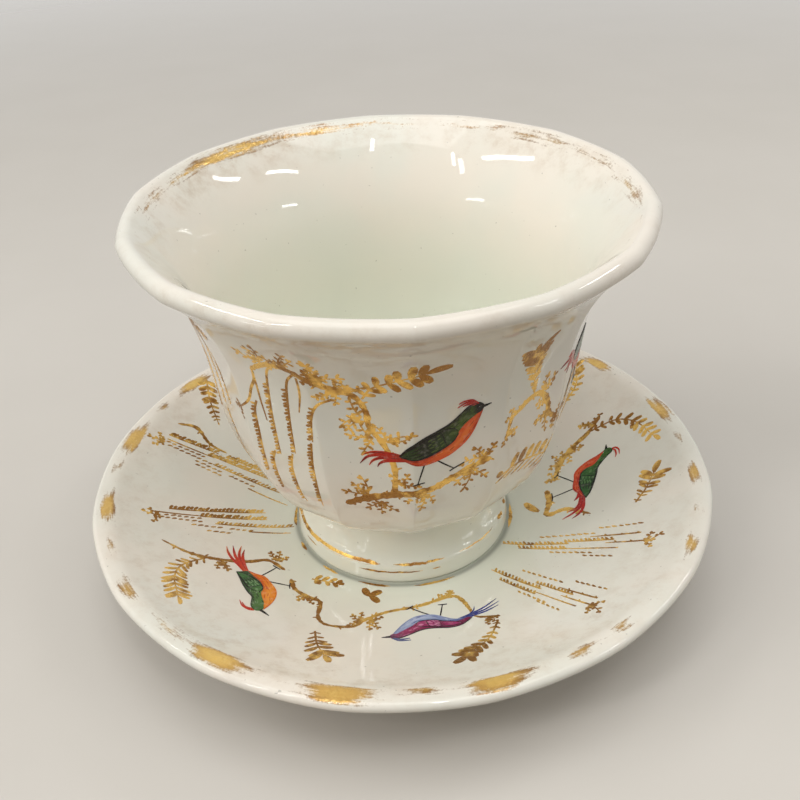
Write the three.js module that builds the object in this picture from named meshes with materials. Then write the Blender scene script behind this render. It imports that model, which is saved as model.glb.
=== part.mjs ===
// A panelled porcelain cup with a flared lip, luted on a turned foot, standing in the well of a fluted saucer.
// Millimetres, +Z up. The origin is on the table, at the middle of the saucer's foot ring.
// Plan angles start at the front, -Y, and turn towards +X.
// A section is drawn as radius and height, up the outside and down the inside, and turned about the Z axis.

import * as THREE from 'three';

// Saucer
const SAUCER_RADIUS = 80;
const SAUCER_LIP_HEIGHT = 22.5;
const SAUCER_LIP_THICKNESS = 2.8;
const SAUCER_SHOULDER_RADIUS = 71;
const SAUCER_SHOULDER_DROP = 1.5;
const SAUCER_SHOULDER_SLOPE = 28.6 * THREE.MathUtils.DEG2RAD;
const SAUCER_WALL = 3.7;
const SAUCER_LOBES = 16;
const SAUCER_LOBE_PHASE = 11.8 * THREE.MathUtils.DEG2RAD;
const SAUCER_LOBE_DEPTH = 0.3;

// Well of the saucer, where the cup stands
const WELL_HEIGHT = 7.5;
const WELL_FLOOR_THICKNESS = 3.5;
const WELL_MARGIN = 1.7;

// Foot ring under the saucer
const RING_RADIUS = 42.5;
const RING_WIDTH = 3.6;
const RING_EDGE = 0.6;
const RING_FILLET = 1.8;

// Foot of the cup
const FOOT_HEIGHT = 15.5;
const FOOT_BASE_RADIUS = 28.3;
const FOOT_BASE_EDGE = 1.2;
const FOOT_BAND_HEIGHT = 5.2;
const FOOT_BAND_TAPER = 0.5;
const FOOT_NECK_RADIUS = 24.4;
const FOOT_WALL = 4.2;

// Bowl of the cup
const CUP_HEIGHT = 91.1;
const LIP_RADIUS = 60.1;
const LIP_THICKNESS = 4.4;
const LIP_SLOPE = 40 * THREE.MathUtils.DEG2RAD;
const BELLY_RADIUS = 44.4;
const BELLY_HEIGHT = 51;
const BELLY_LEAN = 0.1;
const BOWL_WALL = 3.2;
const BOWL_FLOOR_THICKNESS = 4;
const SEAT_OVERHANG = 1.2;
const SEAT_EDGE = 0.7;
const BOWL_TURN_SLOPE = 25 * THREE.MathUtils.DEG2RAD;

// Panels of the bowl: a depth of 1 is a flat panel between two ridges, and 0 is round
const CUP_PANELS = 14;
const CUP_PANEL_PHASE = 3.8 * THREE.MathUtils.DEG2RAD;
const BODY_PANEL_DEPTH = 1;
const LIP_PANEL_DEPTH = 0.55;
const INSIDE_PANEL_DEPTH = 0.4;

// How far the ends of each curve run straight on, as a share of that curve's own rise or reach
const DISH_LEAVE = 0.33;
const DISH_ARRIVE = 0.3;
const DISH_LIFT = 0.03;
const ROLL_PULL = 0.5;
const UNDER_LEAVE = 0.33;
const UNDER_ARRIVE = 0.3;
const WAIST_LEAVE = 0.11;
const WAIST_ARRIVE = 0.5;
const TURN_LEAVE = 0.45;
const TURN_ARRIVE = 0.62;
const FLARE_LEAVE = 0.43;
const FLARE_ARRIVE = 0.41;
const BASIN_LEAVE = 0.7;
const BASIN_ARRIVE = 0.7;

// Steps around each panel, lobe and turned foot
const STEPS_PER_PANEL = 6;
const STEPS_PER_LOBE = 4;
const FOOT_SIDES = 56;

const QUARTER_TURN = Math.PI / 2;
const HALVINGS = 40;

const porcelain = new THREE.MeshStandardMaterial({ color: 0xece8dd, roughness: 0.12, metalness: 0 });
const bowlGlaze = new THREE.MeshStandardMaterial({ color: 0xe9e8db, roughness: 0.1, metalness: 0 });
const footGlaze = new THREE.MeshStandardMaterial({ color: 0xeae6da, roughness: 0.14, metalness: 0 });

function at(radius, height) {
  return new THREE.Vector2(radius, height);
}

// A point a given distance away along a slope, measured up from the horizontal
function along(point, slope, distance) {
  return at(point.x + distance * Math.cos(slope), point.y + distance * Math.sin(slope));
}

function line(from, to) {
  return new THREE.LineCurve(from, to);
}

function corner(from, tip, to) {
  return new THREE.QuadraticBezierCurve(from, tip, to);
}

function sweep(from, leave, arrive, to) {
  return new THREE.CubicBezierCurve(from, leave, arrive, to);
}

// The same cubic curve, run from its other end
function reversed(curve) {
  return sweep(curve.v3, curve.v2, curve.v1, curve.v0);
}

// The place on an outward curve where it reaches a radius, from 0 at its start to 1 at its end
function placeAt(curve, radius) {
  let low = 0;
  let high = 1;
  for (let step = 0; step < HALVINGS; step += 1) {
    const middle = (low + high) / 2;
    if (curve.getPoint(middle).x < radius) {
      low = middle;
    } else {
      high = middle;
    }
  }
  return high;
}

// A round edge of a section, from one normal direction to the other, turning as the section does
function roundEdge(centre, radius, fromNormal, toNormal) {
  return new THREE.EllipseCurve(centre.x, centre.y, radius, radius, fromNormal, toNormal, fromNormal > toNormal);
}

// One stretch of a section: its curve, its steps, and how deeply it is panelled at its two ends
function stretch(curve, steps, startDepth = 0, endDepth = startDepth) {
  return { curve, steps, startDepth, endDepth };
}

// The radius of a panelled outline as a share of its ridge radius
function panelShare(angleFromRidge, count, depth) {
  const half = Math.PI / count;
  const turns = angleFromRidge / (2 * half);
  const fromRidge = Math.abs(turns - Math.round(turns)) * 2 * half;
  const flat = Math.cos(half) / Math.cos(half - fromRidge);
  return 1 - depth * (1 - flat);
}

// Turns a section about +Z and draws its panelled stretches in between the ridges
function turned(section, sides, count = 1, phase = 0) {
  const points = [];
  const depths = [];
  for (const { curve, steps, startDepth, endDepth } of section) {
    for (let step = 0; step < steps; step += 1) {
      points.push(curve.getPoint(step / steps));
      depths.push(THREE.MathUtils.lerp(startDepth, endDepth, step / steps));
    }
  }
  const last = section[section.length - 1];
  points.push(last.curve.getPoint(1));
  depths.push(last.endDepth);

  const geometry = new THREE.LatheGeometry(points, sides, phase, 2 * Math.PI);
  const position = geometry.attributes.position;
  for (let index = 0; index < position.count; index += 1) {
    const angle = Math.floor(index / points.length) * (2 * Math.PI / sides);
    const share = panelShare(angle, count, depths[index % points.length]);
    position.setX(index, position.getX(index) * share);
    position.setZ(index, position.getZ(index) * share);
  }
  geometry.rotateX(QUARTER_TURN);
  geometry.computeVertexNormals();
  return geometry;
}

function piece(name, geometry, material) {
  const mesh = new THREE.Mesh(geometry, material);
  mesh.name = name;
  return mesh;
}

// The saucer: a flat well, a dished side with soft lobes, a rolled lip and a foot ring beneath
function saucer() {
  const underside = WELL_HEIGHT - WELL_FLOOR_THICKNESS;
  const ringInside = RING_RADIUS - RING_WIDTH / 2;
  const ringOutside = RING_RADIUS + RING_WIDTH / 2;
  const lipRadius = SAUCER_LIP_THICKNESS / 2;
  const lipCentre = at(SAUCER_RADIUS - lipRadius, SAUCER_LIP_HEIGHT);
  const lipTop = at(lipCentre.x, lipCentre.y + lipRadius);
  const lipUnder = SAUCER_SHOULDER_SLOPE - QUARTER_TURN;
  const lipBottom = along(lipCentre, lipUnder, lipRadius);
  const shoulder = at(SAUCER_SHOULDER_RADIUS, SAUCER_LIP_HEIGHT - SAUCER_SHOULDER_DROP);
  const wellEdge = at(FOOT_BASE_RADIUS + WELL_MARGIN, WELL_HEIGHT);
  const reach = shoulder.x - wellEdge.x;

  const rollReach = lipTop.x - shoulder.x;
  const rollLeave = along(shoulder, SAUCER_SHOULDER_SLOPE, rollReach * ROLL_PULL);
  const roll = sweep(shoulder, rollLeave, at(lipTop.x - rollReach * ROLL_PULL, lipTop.y), lipTop);
  const dishRise = shoulder.y - WELL_HEIGHT;
  const dishLeave = at(wellEdge.x + reach * DISH_LEAVE, WELL_HEIGHT + dishRise * DISH_LIFT);
  const dishArrive = along(shoulder, SAUCER_SHOULDER_SLOPE, -reach * DISH_ARRIVE);
  const dish = sweep(wellEdge, dishLeave, dishArrive, shoulder);

  const rootPlace = placeAt(dish, ringOutside + RING_FILLET);
  const rootSlope = dish.getTangent(rootPlace).angle();
  const ringRoot = along(dish.getPoint(rootPlace), rootSlope - QUARTER_TURN, SAUCER_WALL);
  const underReach = lipBottom.x - ringRoot.x;
  const underLeave = along(lipBottom, SAUCER_SHOULDER_SLOPE, -underReach * UNDER_LEAVE);
  const underArrive = along(ringRoot, rootSlope, underReach * UNDER_ARRIVE);
  const under = sweep(lipBottom, underLeave, underArrive, ringRoot);

  const ringIn = at(ringInside, underside - RING_EDGE);
  const section = [
    stretch(line(at(0, underside), at(ringInside - RING_EDGE, underside)), 1),
    stretch(corner(at(ringInside - RING_EDGE, underside), at(ringInside, underside), ringIn), 2),
    stretch(line(ringIn, at(ringInside, RING_EDGE)), 1),
    stretch(corner(at(ringInside, RING_EDGE), at(ringInside, 0), at(ringInside + RING_EDGE, 0)), 2),
    stretch(line(at(ringInside + RING_EDGE, 0), at(ringOutside - RING_EDGE, 0)), 1),
    stretch(corner(at(ringOutside - RING_EDGE, 0), at(ringOutside, 0), at(ringOutside, RING_EDGE)), 2),
    stretch(line(at(ringOutside, RING_EDGE), at(ringOutside, ringRoot.y - RING_FILLET)), 1),
    stretch(corner(at(ringOutside, ringRoot.y - RING_FILLET), at(ringOutside, ringRoot.y), ringRoot), 3),
    stretch(reversed(under), 7, 0, SAUCER_LOBE_DEPTH),
    stretch(roundEdge(lipCentre, lipRadius, lipUnder, QUARTER_TURN), 6, SAUCER_LOBE_DEPTH),
    stretch(reversed(roll), 4, SAUCER_LOBE_DEPTH),
    stretch(reversed(dish), 9, SAUCER_LOBE_DEPTH, 0),
    stretch(line(wellEdge, at(0, WELL_HEIGHT)), 1),
  ];
  const geometry = turned(section, SAUCER_LOBES * STEPS_PER_LOBE, SAUCER_LOBES, SAUCER_LOBE_PHASE);
  return piece('saucer', geometry, porcelain);
}

// The foot: a turned ring with an upright band at its base and a hollowed waist under the bowl
function cupFoot() {
  const bandTop = at(FOOT_BASE_RADIUS - FOOT_BAND_TAPER, FOOT_BAND_HEIGHT);
  const bandBottom = at(FOOT_BASE_RADIUS, FOOT_BASE_EDGE);
  const neck = at(FOOT_NECK_RADIUS, FOOT_HEIGHT);
  const waistRise = FOOT_HEIGHT - FOOT_BAND_HEIGHT;
  const waistLeave = at((bandTop.x + neck.x) / 2, bandTop.y + waistRise * WAIST_LEAVE);
  const waistArrive = at(neck.x, neck.y - waistRise * WAIST_ARRIVE);
  const waist = sweep(bandTop, waistLeave, waistArrive, neck);
  const baseOuter = at(FOOT_BASE_RADIUS - FOOT_BASE_EDGE, 0);
  const baseInner = at(FOOT_BASE_RADIUS - FOOT_WALL, 0);
  const boreTop = at(FOOT_NECK_RADIUS - FOOT_WALL, FOOT_HEIGHT);
  const boreTip = at(boreTop.x, FOOT_BAND_HEIGHT);
  const section = [
    stretch(line(baseInner, baseOuter), 1),
    stretch(corner(baseOuter, at(FOOT_BASE_RADIUS, 0), bandBottom), 3),
    stretch(line(bandBottom, bandTop), 1),
    stretch(waist, 6),
    stretch(line(neck, boreTop), 1),
    stretch(corner(boreTop, boreTip, baseInner), 5),
  ];
  return piece('cup_foot', turned(section, FOOT_SIDES), footGlaze);
}

// The bowl: a round turn up from the seat, a panelled belly, and a flare to a thick rounded lip
function cupBowl() {
  const seatRadius = FOOT_NECK_RADIUS + SEAT_OVERHANG;
  const seatInner = at(seatRadius - SEAT_EDGE, FOOT_HEIGHT);
  const seatTip = at(seatRadius, FOOT_HEIGHT);
  const turnStart = along(seatTip, BOWL_TURN_SLOPE, SEAT_EDGE);
  const belly = at(BELLY_RADIUS, BELLY_HEIGHT);
  const bellySlope = QUARTER_TURN - BELLY_LEAN;
  const turnRise = BELLY_HEIGHT - FOOT_HEIGHT;
  const turnReach = (BELLY_RADIUS - seatRadius) / Math.cos(BOWL_TURN_SLOPE);
  const turnLeave = along(turnStart, BOWL_TURN_SLOPE, turnReach * TURN_LEAVE);
  const turnArrive = along(belly, bellySlope, -turnRise * TURN_ARRIVE);
  const turn = sweep(turnStart, turnLeave, turnArrive, belly);

  const lipRadius = LIP_THICKNESS / 2;
  const lipCentre = at(LIP_RADIUS - lipRadius, CUP_HEIGHT - lipRadius);
  const lipOutNormal = LIP_SLOPE - QUARTER_TURN;
  const lipInNormal = LIP_SLOPE + QUARTER_TURN;
  const lipOuter = along(lipCentre, lipOutNormal, lipRadius);
  const lipInner = along(lipCentre, lipInNormal, lipRadius);
  const flareRise = lipOuter.y - BELLY_HEIGHT;
  const flareLeave = along(belly, bellySlope, flareRise * FLARE_LEAVE);
  const flareArrive = along(lipOuter, LIP_SLOPE, -flareRise * FLARE_ARRIVE);
  const flare = sweep(belly, flareLeave, flareArrive, lipOuter);

  const floor = FOOT_HEIGHT + BOWL_FLOOR_THICKNESS;
  const bellyInside = at(BELLY_RADIUS - BOWL_WALL, BELLY_HEIGHT);
  const flareInside = sweep(
    lipInner,
    along(lipInner, LIP_SLOPE, -flareRise * FLARE_ARRIVE),
    along(bellyInside, bellySlope, flareRise * FLARE_LEAVE),
    bellyInside,
  );
  const basin = sweep(
    bellyInside,
    along(bellyInside, bellySlope, -(BELLY_HEIGHT - floor) * BASIN_LEAVE),
    at(bellyInside.x * BASIN_ARRIVE, floor),
    at(0, floor),
  );

  const section = [
    stretch(line(at(0, FOOT_HEIGHT), seatInner), 1, BODY_PANEL_DEPTH),
    stretch(corner(seatInner, seatTip, turnStart), 2, BODY_PANEL_DEPTH),
    stretch(turn, 8, BODY_PANEL_DEPTH),
    stretch(flare, 9, BODY_PANEL_DEPTH, LIP_PANEL_DEPTH),
    stretch(roundEdge(lipCentre, lipRadius, lipOutNormal, lipInNormal), 6, LIP_PANEL_DEPTH),
    stretch(flareInside, 7, LIP_PANEL_DEPTH, INSIDE_PANEL_DEPTH),
    stretch(basin, 8, INSIDE_PANEL_DEPTH, 0),
  ];
  const geometry = turned(section, CUP_PANELS * STEPS_PER_PANEL, CUP_PANELS, CUP_PANEL_PHASE);
  return piece('cup_bowl', geometry, bowlGlaze);
}

// The cup stands on the floor of the well
const cup = new THREE.Group();
cup.add(cupFoot(), cupBowl());
cup.position.z = WELL_HEIGHT;

const cupAndSaucer = new THREE.Group();
cupAndSaucer.add(saucer(), cup);

export default cupAndSaucer;
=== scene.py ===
"""The looks of a panelled porcelain cup on its lobed saucer: glossy glaze, painted birds and worn gilding.

Lengths are in millimetres until a mesh is made, and colours are sRGB until a material takes them.
Plan angles start at the front, -Y, and turn towards +X. Heights are above the table.
"""

import math

import bpy
import numpy as np
from mathutils import Matrix, Vector


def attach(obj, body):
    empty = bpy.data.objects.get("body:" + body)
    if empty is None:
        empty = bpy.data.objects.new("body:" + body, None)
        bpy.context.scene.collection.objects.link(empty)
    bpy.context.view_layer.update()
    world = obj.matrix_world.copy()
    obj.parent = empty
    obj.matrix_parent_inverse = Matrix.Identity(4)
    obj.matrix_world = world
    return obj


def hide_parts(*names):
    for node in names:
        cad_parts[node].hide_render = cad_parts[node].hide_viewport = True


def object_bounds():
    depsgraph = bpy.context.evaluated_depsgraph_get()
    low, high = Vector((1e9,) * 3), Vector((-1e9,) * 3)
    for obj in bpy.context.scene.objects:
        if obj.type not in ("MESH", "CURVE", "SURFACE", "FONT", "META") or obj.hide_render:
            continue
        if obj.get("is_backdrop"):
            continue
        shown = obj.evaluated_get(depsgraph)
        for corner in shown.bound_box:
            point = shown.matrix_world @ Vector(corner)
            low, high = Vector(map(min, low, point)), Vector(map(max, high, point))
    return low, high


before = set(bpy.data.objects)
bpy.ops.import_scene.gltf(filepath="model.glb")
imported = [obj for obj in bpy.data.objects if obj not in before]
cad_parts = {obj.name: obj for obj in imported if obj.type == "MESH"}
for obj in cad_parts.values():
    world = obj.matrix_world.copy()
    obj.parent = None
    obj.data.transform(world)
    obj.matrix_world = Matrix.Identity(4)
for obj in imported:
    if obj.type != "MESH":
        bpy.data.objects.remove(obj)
cad_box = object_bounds()

MM = 0.001
QUARTER_TURN = math.pi / 2

# Sizes of the turned pieces, as in the CAD model. Only the lip's panels are shallower here, because the
# photograph's lip is rounder than the solid's.
SAUCER_RADIUS = 80.0
SAUCER_LIP_HEIGHT = 22.5
SAUCER_LIP_THICKNESS = 2.8
SAUCER_SHOULDER_RADIUS = 71.0
SAUCER_SHOULDER_DROP = 1.5
SAUCER_SHOULDER_SLOPE = math.radians(28.6)
SAUCER_WALL = 3.7
SAUCER_LOBES = 16
SAUCER_LOBE_PHASE = math.radians(11.8)
SAUCER_LOBE_DEPTH = 0.3
WELL_HEIGHT = 7.5
WELL_FLOOR_THICKNESS = 3.5
WELL_MARGIN = 1.7
RING_RADIUS = 42.5
RING_WIDTH = 3.6
RING_EDGE = 0.6
RING_FILLET = 1.8
FOOT_HEIGHT = 15.5
FOOT_BASE_RADIUS = 28.3
FOOT_BASE_EDGE = 1.2
FOOT_BAND_HEIGHT = 5.2
FOOT_BAND_TAPER = 0.5
FOOT_NECK_RADIUS = 24.4
FOOT_WALL = 4.2
CUP_HEIGHT = 91.1
LIP_RADIUS = 60.1
LIP_THICKNESS = 4.4
LIP_SLOPE = math.radians(40)
BELLY_RADIUS = 44.4
BELLY_HEIGHT = 51.0
BELLY_LEAN = 0.1
BOWL_WALL = 3.2
BOWL_FLOOR_THICKNESS = 4.0
SEAT_OVERHANG = 1.2
SEAT_EDGE = 0.7
BOWL_TURN_SLOPE = math.radians(25)
CUP_PANELS = 14
CUP_PANEL_PHASE = math.radians(3.8)
BODY_PANEL_DEPTH = 1.0
LIP_PANEL_DEPTH = 0.36
INSIDE_PANEL_DEPTH = 0.4

# How long the handles of the sections' curves are, as shares of what they span
TURN_HANDLES = (0.45, 0.62)
FLARE_HANDLES = (0.43, 0.41)
BASIN_HANDLE = 0.7
WAIST_HANDLES = (0.11, 0.5)
ROLL_HANDLE = 0.5
DISH_HANDLES = (0.33, 0.3)
DISH_HANDLE_LIFT = 0.03
DISH_SAMPLES = 2001
UNDER_HANDLES = (0.3, 0.33)

# How far from a ridge the glaze rounds it off, as an angle, and how far inside the lip the inner value is
# reached
CUP_RIDGE_SOFTNESS = 0.009
INSIDE_RIDGE_SOFTNESS = 0.09
SAUCER_RIDGE_SOFTNESS = 0.06
INSIDE_EASE = 12

# How far the drawn lips stay inside the CAD's
LIP_INSET = 0.04

# Steps of the fine meshes around each panel, lobe and turned foot, and how they gather towards the ridges
STEPS_PER_PANEL = 20
STEPS_PER_LOBE = 20
FOOT_SIDES = 168
RIDGE_GATHER = 1.7

# Films of gold and enamel: thickness, step from coat to coat, bulges of strokes and sheets, how far the
# edges sink into the glaze, and the least width
GOLD_FILM = 0.02
PAINT_FILM = 0.07
LAYER_STEP = 0.008
FILM_BULGE = 0.035
SHEET_BULGE = 0.004
FILM_SINK = 0.03
THINNEST_STROKE = 0.05

# Columns of a stroke's mesh for widths below a limit
STROKE_COLUMNS = ((1.2, 3), (2.8, 5), (math.inf, 7))

# Widths along a stroke from its start: shares for a leaf, a dab, a tail feather and a head, then millimetres
LEAF_SHAPE = np.array([0.35, 0.75, 1, 1, 0.9, 0.5])
DAB_SHAPE = np.array([0.2, 0.85, 1, 0.8, 0.15])
PLUME_SHAPE = np.array([0.7, 0.95, 1.15, 1.0, 0.75, 0.15])
HEAD_SHAPE = np.array([0.3, 0.75, 0.95, 1, 0.95, 0.75, 0.3])
TWIG_WIDTHS = [0.5, 0.42, 0.3]
STALK_WIDTHS = [0.55, 0.45, 0.3]
STRAND_WIDTH = 0.64
BARE_STRAND_WIDTH = 0.6



# Curves of a section, each a function of places from 0 to 1

def along(point, slope, distance):
    """A point a given distance away along a slope, measured up from the horizontal."""
    return np.array([point[0] + distance * math.cos(slope), point[1] + distance * math.sin(slope)])


def direction(line, spot):
    """The angle at which a line runs past one of its points."""
    return math.atan2(*(line[spot + 1] - line[spot - 1])[::-1])


def bezier(*control):
    """A Bezier curve of any degree."""
    def curve(places):
        rows = [np.tile(np.asarray(p, float), (len(places), 1)) for p in control]
        while len(rows) > 1:
            rows = [a + (b - a) * places[:, None] for a, b in zip(rows, rows[1:])]
        return rows[0]
    return curve


def swept(start, start_slope, start_reach, end, end_slope, end_reach):
    """A curve that leaves one point along a slope and comes to another along a slope."""
    return bezier(start, along(start, start_slope, start_reach), along(end, end_slope, -end_reach), end)


def reversed_curve(curve):
    """The same curve, run from its other end."""
    return lambda places: curve(1 - places)


def round_edge(centre, radius, start, end):
    """A round edge, from one normal direction to the other."""
    def curve(places):
        angles = start + (end - start) * places
        return np.asarray(centre) + radius * np.c_[np.cos(angles), np.sin(angles)]
    return curve


def section(*stretches):
    """Points and panel depths along stretches of (curve, steps, depth), or of two depths, start and end."""
    points, depths = [], []
    for curve, steps, start, *end in stretches:
        end = end[0] if end else start
        places = np.arange(steps) / steps
        points.append(curve(places))
        depths.append(start + (end - start) * places)
    points.append(curve(np.ones(1)))
    depths.append([end])
    return np.vstack(points), np.concatenate(depths)


def panel_share(angles, count, depths, softness):
    """The radius of a panelled outline as a share of its ridge radius, with soft ridges."""
    half = math.pi / count
    turns = angles / (2 * half)
    from_ridge = np.abs(turns - np.round(turns)) * 2 * half
    eased = np.hypot(from_ridge, softness)
    return 1 - depths * (1 - math.cos(half) / np.cos(half - eased))


def bowl_section():
    """The bowl: seat, turn, flare, lip, and down the inside to the floor."""
    seat_radius = FOOT_NECK_RADIUS + SEAT_OVERHANG
    seat_inner = (seat_radius - SEAT_EDGE, FOOT_HEIGHT)
    seat_tip = (seat_radius, FOOT_HEIGHT)
    turn_start = along(seat_tip, BOWL_TURN_SLOPE, SEAT_EDGE)
    belly = (BELLY_RADIUS, BELLY_HEIGHT)
    belly_slope = QUARTER_TURN - BELLY_LEAN
    turn_rise = BELLY_HEIGHT - FOOT_HEIGHT
    turn_reach = (BELLY_RADIUS - seat_radius) / math.cos(BOWL_TURN_SLOPE)
    turn = swept(turn_start, BOWL_TURN_SLOPE, turn_reach * TURN_HANDLES[0],
                 belly, belly_slope, turn_rise * TURN_HANDLES[1])
    lip_radius = LIP_THICKNESS / 2
    lip_centre = (LIP_RADIUS - lip_radius - LIP_INSET, CUP_HEIGHT - lip_radius - LIP_INSET)
    out_normal = LIP_SLOPE - QUARTER_TURN
    in_normal = LIP_SLOPE + QUARTER_TURN
    lip_outer = along(lip_centre, out_normal, lip_radius)
    lip_inner = along(lip_centre, in_normal, lip_radius)
    flare_rise = lip_outer[1] - BELLY_HEIGHT
    low_handle, high_handle = (flare_rise * share for share in FLARE_HANDLES)
    flare = swept(belly, belly_slope, low_handle, lip_outer, LIP_SLOPE, high_handle)
    floor_height = FOOT_HEIGHT + BOWL_FLOOR_THICKNESS
    belly_inside = (BELLY_RADIUS - BOWL_WALL, BELLY_HEIGHT)
    flare_inside = swept(lip_inner, LIP_SLOPE, -high_handle, belly_inside, belly_slope, -low_handle)
    basin = bezier(
        belly_inside,
        along(belly_inside, belly_slope, -(BELLY_HEIGHT - floor_height) * BASIN_HANDLE),
        (belly_inside[0] * BASIN_HANDLE, floor_height),
        (0, floor_height),
    )
    body, lip, inside = BODY_PANEL_DEPTH, LIP_PANEL_DEPTH, INSIDE_PANEL_DEPTH
    points, depths = section(
        (bezier((0, FOOT_HEIGHT), seat_inner), 2, body),
        (bezier(seat_inner, seat_tip, turn_start), 4, body),
        (turn, 26, body),
        (flare, 28, body, lip),
        (round_edge(lip_centre, lip_radius, out_normal, in_normal), 16, lip),
        (flare_inside, 24, lip, inside),
        (basin, 24, inside, 0),
    )
    return points + (0, WELL_HEIGHT), depths


def foot_section():
    """The foot: a flat base ring, an upright band, a hollowed waist and the bore."""
    band_top = np.array([FOOT_BASE_RADIUS - FOOT_BAND_TAPER, FOOT_BAND_HEIGHT])
    band_bottom = (FOOT_BASE_RADIUS, FOOT_BASE_EDGE)
    neck = (FOOT_NECK_RADIUS, FOOT_HEIGHT)
    rise = FOOT_HEIGHT - FOOT_BAND_HEIGHT
    waist = bezier(
        band_top,
        ((band_top[0] + neck[0]) / 2, band_top[1] + rise * WAIST_HANDLES[0]),
        (neck[0], neck[1] - rise * WAIST_HANDLES[1]),
        neck,
    )
    base_outer = (FOOT_BASE_RADIUS - FOOT_BASE_EDGE, 0)
    base_inner = (FOOT_BASE_RADIUS - FOOT_WALL, 0)
    bore_top = (FOOT_NECK_RADIUS - FOOT_WALL, FOOT_HEIGHT)
    points, depths = section(
        (bezier(base_inner, base_outer), 1, 0),
        (bezier(base_outer, (FOOT_BASE_RADIUS, 0), band_bottom), 8, 0),
        (bezier(band_bottom, band_top), 4, 0),
        (waist, 18, 0),
        (bezier(neck, bore_top), 1, 0),
        (bezier(bore_top, (bore_top[0], FOOT_BAND_HEIGHT), base_inner), 10, 0),
    )
    return points + (0, WELL_HEIGHT), depths


def saucer_section():
    """The saucer: from under its floor round the foot ring and the lip to the middle of the well."""
    underside = WELL_HEIGHT - WELL_FLOOR_THICKNESS
    ring_in = RING_RADIUS - RING_WIDTH / 2
    ring_out = RING_RADIUS + RING_WIDTH / 2
    lip_radius = SAUCER_LIP_THICKNESS / 2
    lip_centre = (SAUCER_RADIUS - lip_radius - LIP_INSET, SAUCER_LIP_HEIGHT)
    lip_top = (lip_centre[0], lip_centre[1] + lip_radius)
    slope = SAUCER_SHOULDER_SLOPE
    lip_under = slope - QUARTER_TURN
    lip_bottom = along(lip_centre, lip_under, lip_radius)
    shoulder = (SAUCER_SHOULDER_RADIUS, SAUCER_LIP_HEIGHT - SAUCER_SHOULDER_DROP)
    well_edge = (FOOT_BASE_RADIUS + WELL_MARGIN, WELL_HEIGHT)
    reach = shoulder[0] - well_edge[0]
    rise = shoulder[1] - WELL_HEIGHT

    roll_handle = (lip_top[0] - shoulder[0]) * ROLL_HANDLE
    roll = swept(shoulder, slope, roll_handle, lip_top, 0, roll_handle)
    dish = bezier(
        well_edge,
        (well_edge[0] + reach * DISH_HANDLES[0], WELL_HEIGHT + rise * DISH_HANDLE_LIFT),
        along(shoulder, slope, -reach * DISH_HANDLES[1]),
        shoulder,
    )
    drawn = dish(np.linspace(0, 1, DISH_SAMPLES))
    root = int(np.searchsorted(drawn[:, 0], ring_out + RING_FILLET))
    root_slope = direction(drawn, root)
    ring_root = along(drawn[root], root_slope - QUARTER_TURN, SAUCER_WALL)
    under_reach = lip_bottom[0] - ring_root[0]
    under = swept(ring_root, root_slope, under_reach * UNDER_HANDLES[0],
                  lip_bottom, slope, under_reach * UNDER_HANDLES[1])
    under_foot = (FOOT_BASE_RADIUS - FOOT_BASE_EDGE, WELL_HEIGHT)
    lobe, edge = SAUCER_LOBE_DEPTH, RING_EDGE
    fillet_start = (ring_out, ring_root[1] - RING_FILLET)
    return section(
        (bezier((0, underside), (ring_in - edge, underside)), 2, 0),
        (bezier((ring_in - edge, underside), (ring_in, underside), (ring_in, underside - edge)), 4, 0),
        (bezier((ring_in, underside - edge), (ring_in, edge)), 1, 0),
        (bezier((ring_in, edge), (ring_in, 0), (ring_in + edge, 0)), 4, 0),
        (bezier((ring_in + edge, 0), (ring_out - edge, 0)), 1, 0),
        (bezier((ring_out - edge, 0), (ring_out, 0), (ring_out, edge)), 4, 0),
        (bezier((ring_out, edge), fillet_start), 1, 0),
        (bezier(fillet_start, (ring_out, ring_root[1]), ring_root), 5, 0),
        (under, 14, 0, lobe),
        (round_edge(lip_centre, lip_radius, lip_under, QUARTER_TURN), 14, lobe),
        (reversed_curve(roll), 10, lobe),
        (reversed_curve(dish), 30, lobe, 0),
        (bezier(well_edge, under_foot), 8, 0),
        (bezier(under_foot, (0, WELL_HEIGHT)), 3, 0),
    )


# Turned meshes and the faces of them that carry painting

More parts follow.
